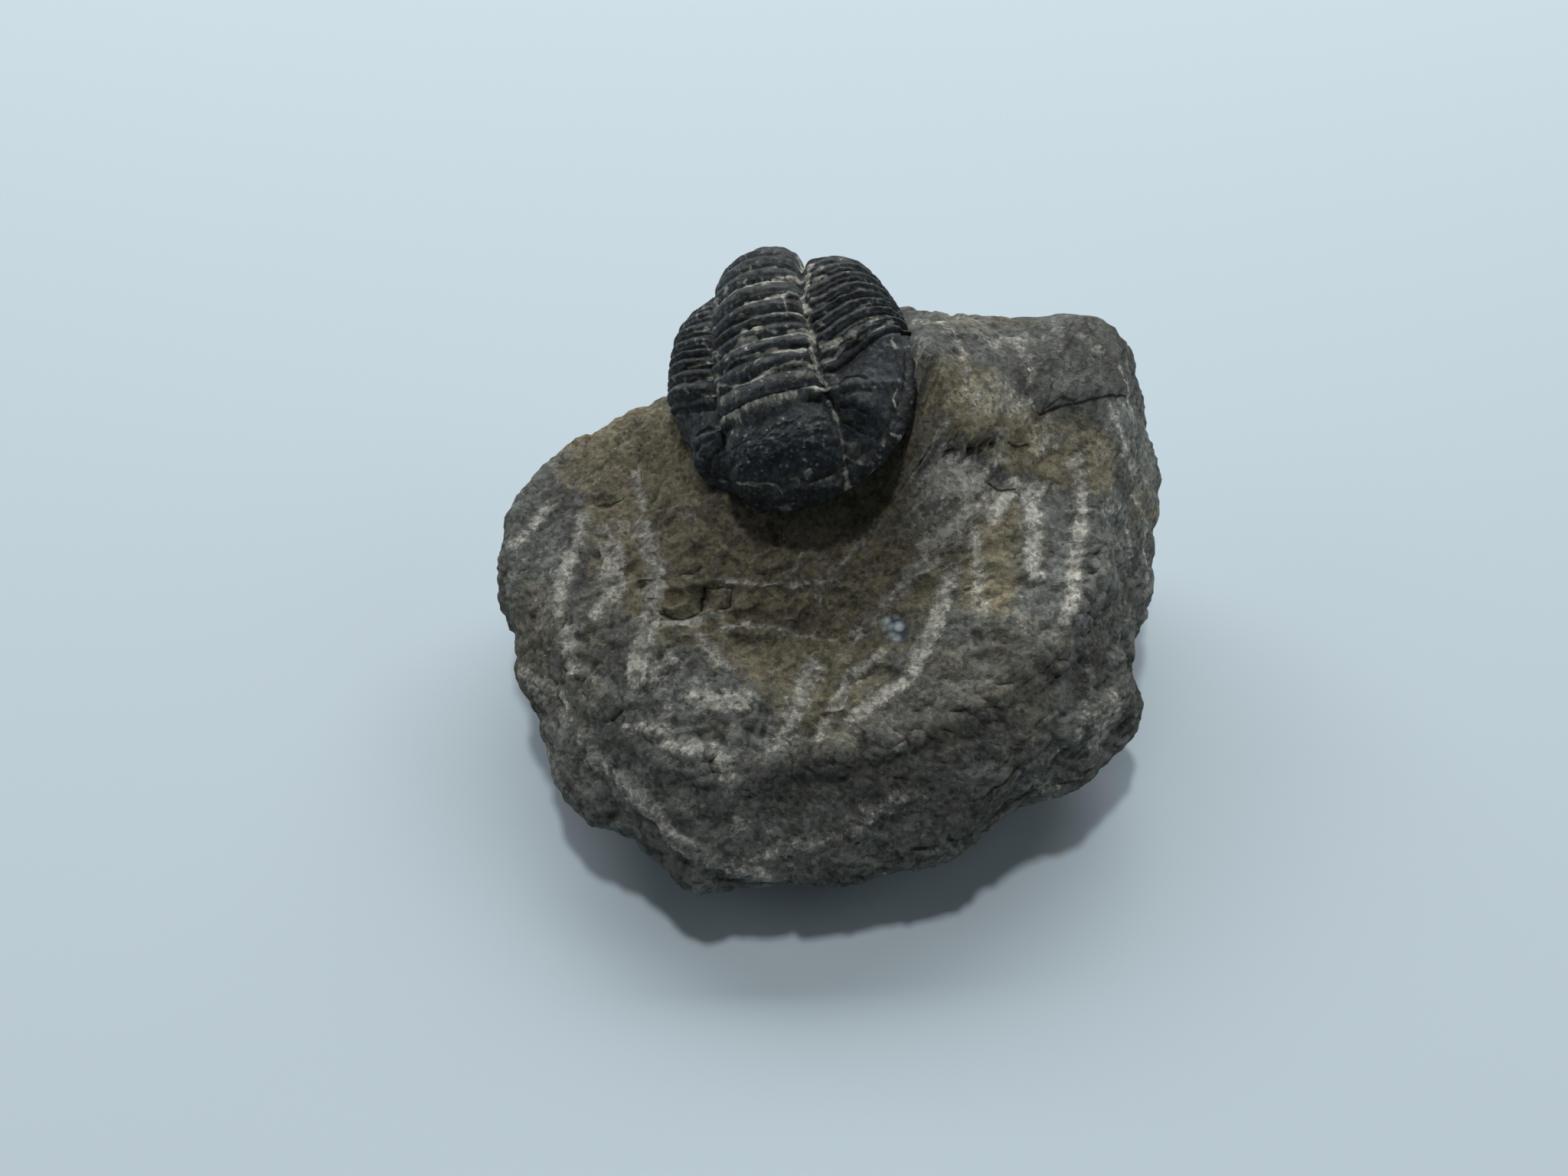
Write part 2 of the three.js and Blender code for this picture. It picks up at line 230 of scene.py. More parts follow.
def lattice(x, y, z, seed):
    """A repeatable whole number for each lattice corner."""
    h = (x * 374761393 + y * 668265263 + z * 1440662683 + seed * 974634777) & 0xFFFFFFFF
    h = ((h ^ (h >> 13)) * 1274126177) & 0xFFFFFFFF
    return h ^ (h >> 16)


def noise(points, seed):
    """Smooth gradient noise, about -1 to 1, one wave to a unit."""
    p = np.asarray(points, float)
    cell = np.floor(p).astype(np.int64)
    f = p - cell
    w = f * f * f * (f * (f * 6 - 15) + 10)
    total = np.zeros(len(p))
    for corner in range(8):
        step = np.array([corner & 1, corner >> 1 & 1, corner >> 2 & 1])
        h = lattice(*(cell + step).T, seed)
        d = f - step
        turn = (h & 1023) * (2 * math.pi / 1024)
        height = ((h >> 10) & 1023) / 511.5 - 1
        flat = np.sqrt(np.maximum(0, 1 - height * height))
        dot = d[:, 0] * flat * np.cos(turn) + d[:, 1] * flat * np.sin(turn) + d[:, 2] * height
        total += dot * np.prod(np.where(step, w, 1 - w), axis=1)
    return 1.5 * total


def layered(points, octaves, seed):
    """Noise summed over octaves, each half the size of the one before."""
    p = np.asarray(points, float)
    total, size = np.zeros(len(p)), 1.0
    for k in range(octaves):
        total += size * noise(p * 2**k, seed + 17 * k)
        size *= 0.5
    return total


def cells(points, seed):
    """Distance to the nearest scattered point and to the second nearest, one point to a unit cube."""
    p = np.asarray(points, float)
    cell = np.floor(p).astype(np.int64)
    near, second = np.full(len(p), np.inf), np.full(len(p), np.inf)
    for k in range(27):
        c = cell + np.array([k % 3 - 1, k // 3 % 3 - 1, k // 9 - 1])
        h = lattice(*c.T, seed)
        jitter = np.stack([h & 255, h >> 8 & 255, h >> 16 & 255], -1) / 255.0
        d = np.linalg.norm(c + jitter - p, axis=1)
        second = np.minimum(second, np.maximum(near, d))
        near = np.minimum(near, d)
    return near, second


# The trilobite's form.
MIDLINE_STEP = 0.05


def midline():
    """Points of the back's midline, [back, up], one for each step from the snout."""
    s = np.arange(0, BODY_LENGTH, MIDLINE_STEP)
    facing = np.radians(along(BACK_FACING, s + MIDLINE_STEP / 2)[:, 0])
    steps = np.stack([MIDLINE_STEP * np.sin(facing), MIDLINE_STEP * np.cos(facing)], -1)
    return np.vstack([[0, 0], np.cumsum(steps, axis=0)])


MIDLINE = midline()
CHEEK_BACK, CHEEK_UP = 9.7, 1.2


def back_point(s):
    """The midline's place, [back, up], and its outward direction at lengths along the back."""
    i = np.clip(np.asarray(s) / MIDLINE_STEP, 0, len(MIDLINE) - 1.001)
    k = np.floor(i).astype(int)
    t = (i - k)[:, None]
    place = MIDLINE[k] * (1 - t) + MIDLINE[k + 1] * t
    facing = np.radians(along(BACK_FACING, s)[:, 0])
    return place, -np.cos(facing), np.sin(facing)


TIP = back_point(np.array([BODY_LENGTH]))[0][0]
SIDE_EDGE = [
    (HEAD_LENGTH, HEAD_HALF_WIDTH, CHEEK_BACK, CHEEK_UP),
    (14.4, 8.5, 11.0, 1.0),
    (18.2, 7.9, 12.4, 0.2),
    (THORAX_END, 6.6, 13.3, -1.6),
    (BODY_LENGTH - 2.2, 4.0, 0.5 * (13.6 + TIP[0]), 0.5 * (TIP[1] - 2.4)),
    (BODY_LENGTH, 0, TIP[0], TIP[1]),
]


def edge_point(s):
    """The side edge: half width, back and up."""
    turn = np.radians(np.clip(s / HEAD_LENGTH, 0, 1) * 90)
    rise = 1 - np.cos(turn)
    head = np.stack([HEAD_HALF_WIDTH * np.sin(turn), CHEEK_BACK * rise, CHEEK_UP * rise], -1)
    return np.where((s > HEAD_LENGTH)[:, None], along(SIDE_EDGE, s), head)


def skew_at(s, q):
    """How much wider the head is on its right and narrower on its left."""
    bulge = np.sin(math.pi * np.sqrt(np.clip(s / HEAD_LENGTH, 0, 1)))
    return np.where(s > HEAD_LENGTH, 1, 1 + HEAD_SKEW * q * bulge)


def axis_width(s):
    table = [
        (0, AXIS_HALF_WIDTH),
        (HEAD_LENGTH, 1.1 * AXIS_HALF_WIDTH),
        (14, AXIS_HALF_WIDTH),
        (THORAX_END, 0.85 * AXIS_HALF_WIDTH),
        (BODY_LENGTH, 0.35 * AXIS_HALF_WIDTH),
    ]
    return along(table, s)[:, 0]


def glabella_share(s, x, outline):
    """0 in the glabella's middle and 1 on its outline."""
    middle_s, middle_x, half_length, half_width, power = outline
    return np.abs((s - middle_s) / half_length) ** power + np.abs((x - middle_x) / half_width) ** power


def lift(s, x):
    """The smooth rise of the raised middle: glabella on the head, axis behind it."""
    dome = GLABELLA_RISE * np.maximum(0, 1 - glabella_share(s, x, GLABELLA_DOME)) ** 0.6
    lobe = AXIS_HEIGHT * np.maximum(0, 1 - (x / axis_width(s)) ** 2) ** 0.7
    fade = smoothstep(s, OCCIPITAL - 0.6, OCCIPITAL + 0.2)
    fade = fade * (1 - smoothstep(s, BODY_LENGTH - 2.5, BODY_LENGTH - 0.8))
    return np.maximum(dome, lobe * fade)


def form_point(s, q):
    """The smooth form at lengths along the back, with q from -1 at the left edge to 1 at the right."""
    place, out_back, out_up = back_point(s)
    edge = edge_point(s)
    low = lift(s, np.zeros_like(s))
    crown = place - np.stack([out_back * low, out_up * low], -1)
    bend = q * math.pi / 2
    x = edge[:, 0] * np.sin(bend) * skew_at(s, q)
    fullness = HEAD_FULLNESS + (THORAX_FULLNESS - HEAD_FULLNESS) * smoothstep(s, OCCIPITAL, HEAD_LENGTH + 1)
    drop = (1 - np.abs(np.cos(bend)) ** fullness)[:, None]
    side = crown + (edge[:, 1:] - crown) * drop
    return np.column_stack([x, side])


def from_side_edge(points):
    """How far in from the nearer side edge each point is."""
    s = np.arange(0, BODY_LENGTH, 0.2)
    edge = edge_point(s)
    nearest = np.full(len(points), np.inf)
    for side in (-1, 1):
        line = np.column_stack([side * edge[:, 0] * skew_at(s, side), edge[:, 1:]])
        for corner in line:
            nearest = np.minimum(nearest, ((points - corner) ** 2).sum(1))
    return np.sqrt(nearest)


def mark_map(s, x, marks, patchy):
    """Strength from 0 to 1 of marks on the unrolled back, each (half width, strength, [(along, across)])."""
    total = np.zeros(len(s))
    for half, strength, line in marks:
        ends = line[1:] or [(line[0][0], line[0][1] + DOT_LENGTH)]
        best = np.full(len(s), np.inf)
        for (s0, x0), (s1, x1) in zip(line, ends):
            ds, dx = s1 - s0, x1 - x0
            share = np.clip(((s - s0) * ds + (x - x0) * dx) / (ds**2 + dx**2), 0, 1)
            best = np.minimum(best, np.hypot(s - s0 - share * ds, x - x0 - share * dx))
        best = best + (0.03 + half * 0.8) * patchy
        total = np.maximum(total, strength * (1 - smoothstep(best, 0.45 * half, half + 0.07)))
    return total


class Back:
    """Places on the trilobite's back, and what its relief depends on there."""

    def __init__(self, s, inward, points):
        self.s = s
        self.x = points[:, 0]
        self.inward = inward
        self.points = points
        self.side = np.abs(self.x)
        self.axis_edge = axis_width(s)
        self.beside_axis = smoothstep(self.side, self.axis_edge - 0.1, self.axis_edge + 0.3)
        swept = 0.24 * np.maximum(0, self.x - 4) ** 1.6 + 0.34 * np.maximum(0, -self.x - 2.6)
        self.row = s - swept * (1 - smoothstep(s, THORAX_END - 2, THORAX_END))
        head_end = RING_FURROWS[0] + (RING_FURROWS[1] - RING_FURROWS[0]) * self.beside_axis
        self.on_head = 1 - smoothstep(self.row, head_end - 0.05, head_end + 0.05)
        self.on_glabella = smoothstep(1 - glabella_share(s, self.x, GLABELLA_GRAIN), -0.05, 0.25)
        self.in_tail = smoothstep(s, THORAX_END - 0.3, THORAX_END + 0.3)
        self.patchy = layered(points * 1.6, 3, 41)
        self.rim = BORDER + FRONT_BORDER_EXTRA * np.maximum(0, 1 - s / 4)


def head_relief(back):
    """Height of the head's border, eyes, grain and furrows, and the strength of the rock in the furrows."""
    s, x, side, row = back.s, back.x, back.side, back.row
    border_furrow = bell((back.inward - 1.1 * back.rim) / 0.28) * smoothstep(side, 2, 4)
    height = BORDER_RISE * bell((back.inward - 0.5 * back.rim) / (0.5 * back.rim))
    height -= BORDER_FURROW_DEPTH * border_furrow
    out = np.where(x > 0, x - EYE_RIGHT, -x - EYE_LEFT)
    height += EYE_HEIGHT * bell((s - EYE_ALONG) / EYE_HALF_LENGTH) * bell(out / EYE_HALF_WIDTH)
    folded = np.where(x > 0, x, LEFT_CREASES_IN - x)
    height -= CREASE_DEPTH * mark_map(s, folded, EYE_CREASES, 0.6 * back.patchy)
    before_occipital = 1 - smoothstep(s, OCCIPITAL - 0.2, OCCIPITAL + 0.2)
    along_side = bell((side - along(GLABELLA_SIDE, s)[:, 0]) / 0.17) * before_occipital
    height -= GLABELLA_SIDE_DEPTH * along_side
    in_front = bell((s - FRONT_FURROW - 0.24 * np.maximum(0, -x - 0.5) ** 2) / 0.16) * (side < 3.6)
    height -= FRONT_DEPTH * in_front
    near, _ = cells(back.points * 3.0, 5)
    grain = GRANULE_RISE * np.maximum(0, 0.5 - near) + GRAIN_RISE * layered(back.points * 1.7, 3, 8)
    height += back.on_glabella * grain
    for start, reach in SLANTING_FURROWS:
        slant = start - 0.25 * (side - reach)
        outer = smoothstep(side, reach - 0.4, reach + 0.9) * back.on_glabella
        height -= SLANTING_DEPTH * bell((s - slant) / 0.22) * outer
    rim_rise = CHEEK_RIM_RISE * bell((row - CHEEK_RIM) / 0.4) * back.beside_axis
    height += rim_rise - CHEEK_FURROW_DEPTH * (bell((row - CHEEK_FURROW) / 0.2) * back.beside_axis)
    height += GRAIN_RISE * (1 - back.on_glabella) * layered(back.points * 1.3, 3, 14)
    rock = 0.3 * np.maximum(np.maximum(in_front, border_furrow), along_side) * (1 + back.patchy)
    return height, rock


def body_relief(back):
    """Height of the rings on the axis and the ribs beside it, each with a fine line, and their rock."""
    s, side, patchy = back.s, back.side, back.patchy
    furrows = np.array(RING_FURROWS + TAIL_FURROWS)
    phase = np.interp(back.row + 0.07 * patchy, furrows, np.arange(len(furrows)))
    middle = phase - np.floor(phase)
    fade = 1 - back.in_tail * (1 - 0.5 * np.maximum(0, 1 - (s - THORAX_END) / 5))
    crest = 1 - np.abs(2 * middle - 1) ** 2.2
    crest = crest - 0.22 * bell((middle - 0.3) / 0.07) * (0.35 + 0.65 * back.beside_axis) * (1 + patchy)
    raised = np.clip(crest, 0, 1) * (1 - 0.4 * smoothstep(1.2 - back.inward, 0, 1.2) * back.beside_axis)
    axial_furrow = bell((side - back.axis_edge - 0.05) / 0.3)
    height = fade * (RING_RISE * raised * (1 - 0.75 * axial_furrow) - RING_SINK)
    height -= AXIAL_FURROW_DEPTH * axial_furrow
    swell = bell((side - 0.5 * (back.axis_edge + HEAD_HALF_WIDTH)) / 1.7)
    height += SIDE_SWELL * swell * back.beside_axis
    height += GRAIN_RISE * raised * layered(back.points * 2.4, 3, 12)

    behind = smoothstep(s, 19.5, 21)
    rock = fade * smoothstep(1 - raised, 0.45, 1) * (0.35 + 0.25 * behind + 0.3 * patchy)
    right = smoothstep(back.x, -0.5, 0.5)
    in_furrow = axial_furrow * (0.2 + 0.5 * right * smoothstep(s, 18, 20) + 0.3 * patchy)
    worn = 0.65 * smoothstep(layered(back.points * 2.1, 3, 63), 0.42, 0.64)
    for other in (in_furrow, worn):
        rock = np.maximum(rock, other * (1 - back.in_tail))
    return height, rock


def relief(back):
    """The shell's height over its smooth form, and its masks: rock, the border band that gets painted shade,
    and glabella.
    """
    head, head_rock = head_relief(back)
    body, body_rock = body_relief(back)
    seen = mark_map(back.s, back.x, FURROW_ROCK, back.patchy)
    height = back.on_head * head + (1 - back.on_head) * body
    height = height * (1 - ROCK_SMOOTHING * seen)
    height = height + GRAIN_RISE * seen * (1 + layered(back.points * 3.1, 2, 19))
    height += GRAIN_RISE * layered(back.points * 1.4, 3, 7)
    inner = 1.1 * back.rim
    masks = {
        "fill": np.maximum(seen, (1 - back.on_head) * body_rock + back.on_head * head_rock),
        # The band along the head's rim, where the material paints shade.
        "border": back.on_head * (1 - smoothstep(back.inward, inner - 0.2, inner + 0.1)),
        "glabella": back.on_head * back.on_glabella,
    }
    return height * np.minimum(1, back.inward / 0.4), masks


def back_normals(s, q):
    """Outward directions of the smooth form, and where there is no relief: along its rim."""
    to_right = form_point(s, np.clip(q + 0.02, -1, 1)) - form_point(s, np.clip(q - 0.02, -1, 1))
    ahead = form_point(np.clip(s + 0.12, 0, BODY_LENGTH), q)
    behind = form_point(np.clip(s - 0.12, 0, BODY_LENGTH), q)
    normal = np.cross(to_right, ahead - behind)
    length = np.linalg.norm(normal, axis=1)
    rim = (np.abs(q) > 0.9999) | (s < 1e-6) | (s > BODY_LENGTH - 1e-6) | (length < 1e-9)
    return normal / np.maximum(length, 1e-9)[:, None], rim


def underside(s, share):
    """Points straight across beneath the shell, from its right edge to its left."""
    edge = edge_point(s)
    right = edge[:, 0] * skew_at(s, 1.0)
    left = -edge[:, 0] * skew_at(s, -1.0)
    return np.column_stack([right + (left - right) * share, edge[:, 1:]])


def place_trilobite(points):
    """From the trilobite's own frame to where it lies, in metres."""
    a, b = math.radians(YAW), math.radians(-ROLL)
    turn = np.array([[math.cos(a), -math.sin(a), 0], [math.sin(a), math.cos(a), 0], [0, 0, 1]])
    lean = np.array([[math.cos(b), 0, math.sin(b)], [0, 1, 0], [-math.sin(b), 0, math.cos(b)]])
    return (points @ (turn @ lean).T + SNOUT) * MM


# The stone's form.
def top_height(x, y):
    """Height of the top: its planes with rounded edges, and its swells and hollows."""
    total = np.zeros_like(x)
    for at, towards, slope in TOP_FACES:
        fall = math.tan(math.radians(slope))
        run = (x - at[0]) * math.cos(math.radians(towards)) + (y - at[1]) * math.sin(math.radians(towards))
        total += np.exp(-(at[2] - run * fall) / EDGE_SOFTNESS)
    height = -EDGE_SOFTNESS * np.log(total)
    for at, rise, size in TOP_FORMS:
        height += rise * bell((x - at[0]) / size[0]) * bell((y - at[1]) / size[1])
    return height


# The widest line with its ends overlapping, so that every azimuth lies between two of its points.
RIM_ROUND = [
    (STONE_RIM[-1][0] - 360, *STONE_RIM[-1][1:]),
    *STONE_RIM,
    (STONE_RIM[0][0] + 360, *STONE_RIM[0][1:]),
]


def wall_radius(azimuth, z):
    """Radius of the side, drawn in below the widest line and sloping in above it."""
    radius, height = along(RIM_ROUND, azimuth).T
    drawn_in = radius * (1 - (1 - FOOT_SHARE) * np.maximum(0, 1 - z / height) ** FOOT_CURVE)
    return np.where(z > height, radius - SHOULDER_SLOPE * (z - height), drawn_in)


def outside_stone(p):
    """Roughly how far points are outside the smooth stone, less than 0 inside it."""
    azimuth = np.degrees(np.arctan2(p[:, 1], p[:, 0]))
    wall = WALL_SLANT * (np.hypot(p[:, 0], p[:, 1]) - wall_radius(azimuth, p[:, 2]))
    top = TOP_SLANT * (p[:, 2] - top_height(p[:, 0], p[:, 1]))
    under = -(p[:, 2] + FOOT_BELOW)
    stack = np.stack([wall, top, under]) / RIM_SOFTNESS
    return RIM_SOFTNESS * np.log(np.exp(np.clip(stack, -60, 60)).sum(0))


def stone_directions(cube):
    """Directions from the stone's middle: the points of a cube spread over a flat pebble."""
    pebble = np.tan(cube * math.pi / 4)
    pebble /= np.linalg.norm(pebble, axis=1)[:, None]
    directions = pebble * PEBBLE
    return directions / np.linalg.norm(directions, axis=1)[:, None]


def stone_points(directions):
    """Where each direction from the stone's middle leaves it, found by halving."""
    near, far = np.zeros(len(directions)), np.full(len(directions), STONE_REACH)
    for _ in range(STONE_HALVINGS):
        middle = (near + far) / 2
        outside = outside_stone(STONE_MIDDLE + directions * middle[:, None]) > 0
        far = np.where(outside, middle, far)
        near = np.where(outside, near, middle)
    return STONE_MIDDLE + directions * near[:, None]


def break_stone(p):
    """How far the broken surface stands out, and its masks: what stands proud, and joints."""
    flakes = layered(p / FLAKE_SIZE, 4, 60)
    level = LEDGE_LEVELS * layered(p / LEDGE_SIZE, 3, 51)
    ledge = np.floor(level) + smoothstep(level - np.floor(level), 0.36, 0.64) - level
    near, second = cells(p * BLOCKS_PER_MM + 0.35 * layered(p / 2.5, 2, 90)[:, None], 9)
    joint = 1 - smoothstep(second - near, 0.0, 0.12)
    crumbs = layered(p / CRUMB_SIZE, 2, 33)
    rough = FLAKE_HEIGHT * flakes + LEDGE_HEIGHT * ledge - JOINT_DEPTH * joint + CRUMB_HEIGHT * crumbs
    masks = {
        "proud": 0.5 + 1.6 * (rough - 0.15 * ledge),
        "crack": 0.35 * (1 - smoothstep(second - near, 0.0, 0.06)),
    }
    return rough, masks


def carve_stone(p, n):
    """How far ridges, scars, the hollow and the listed forms stand out, and where the hollow is."""
    ridge = paint(p, n, RIDGE, 0.9, 0.3)
    scar = paint(p, n, widened(CRACK, 2), 1.0)
    hollow = paint(p, n, HOLLOW, 0.5, 0.2)
    form = sum(height * paint(p, n, [(half, 1, line)], 0.55, 0.3) for half, height, line in STONE_FORMS)
    return RIDGE_HEIGHT * ridge - SCAR_DEPTH * scar - HOLLOW_DEPTH * hollow + form, hollow


def stone_masks(p, n, hollow):
    """Masks of the stone's light and dark sides as painted light and shade, its chalk, its fleck and the
    ground beside its cracks.
    """
    steep = 1 - smoothstep(n[:, 2], 0.25, 0.75)
    front = smoothstep(-n[:, 1], 0.1, 0.7) * smoothstep(-p[:, 1], 5, 11)
    right = smoothstep(p[:, 0], 4, 9) * (1 - 0.75 * smoothstep(p[:, 1], 9, 12)) * (1 - front)
    right = right * smoothstep(p[:, 1], -8, -3.5)
    fainter = 1 - 0.14 * smoothstep(-p[:, 1], 7, 10)
    marks = fainter * paint(p, n, widened(CHALK, 1.25, 0.08), 0.9, 0.5)
    edges = 0.75 * paint(p, n, RIDGE, 0.9, 0.6)
    wall = steep * smoothstep(layered(p * [1.1, 1.1, 0.22], 3, 21), 0.15, 0.9)
    bruise = 0.5 * smoothstep(layered(p / [2.6, 3.4, 2.6], 4, 24), 0.3, 1.0)
    return {
        # Painted light and shade: the front, the right side and the steep walls are made lighter, and the
        # hollow darker.
        "shade": 0.5 + 0.16 * front - 0.22 * hollow + 0.43 * right + 0.12 * steep * (1 - front),
        "chalk": np.max([marks, edges, 0.6 * wall, bruise], axis=0),
        "fleck": paint(p, n, FLECK, 0.25, 0.15),
        "crack_near": paint(p, n, [(3.5 * half, 1, line) for half, _, line in CRACK], 0.3),
    }


def crack_side(p, n):
    """The side of the nearest crack that each point is on, from -1 to 1, and 0 on its line."""
    signed = np.full(len(p), 1.0)
    for half, _, line in CRACK:
        best, side = to_line(p, n, line)
        signed = np.where(best < np.abs(signed), side / half * 0.12, signed)
    return signed


# Mesh helpers.
def deselect():
    if bpy.context.object and bpy.context.object.mode != "OBJECT":
        bpy.ops.object.mode_set(mode="OBJECT")
    bpy.ops.object.select_all(action="DESELECT")


def set_points(mesh, points):
    mesh.vertices.foreach_set("co", np.asarray(points, np.float32).ravel())
    mesh.update()


def get_points(mesh):
    co = np.zeros(len(mesh.vertices) * 3, np.float32)
    mesh.vertices.foreach_get("co", co)
    return co.reshape(-1, 3).astype(float)


def get_normals(mesh):
    n = np.zeros(len(mesh.vertices) * 3, np.float32)
    mesh.vertices.foreach_get("normal", n)
    return n.reshape(-1, 3).astype(float)


def set_mask(mesh, name, values, low=0):
    attribute = mesh.attributes.new(name, "FLOAT", "POINT")
    attribute.data.foreach_set("value", np.clip(values, low, 1).astype(np.float32))


def edit_all(*steps):
    """Runs edit-mode operators on everything in the active mesh."""
    bpy.ops.object.mode_set(mode="EDIT")
    bpy.ops.mesh.select_all(action="SELECT")
    for step, options in steps:
        step(**options)
    bpy.ops.object.mode_set(mode="OBJECT")


def finish_piece(piece, material, node):
    piece.data.materials.append(bpy.data.materials[material])
    bpy.ops.object.shade_smooth()
    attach(piece, "root")
    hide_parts(node)


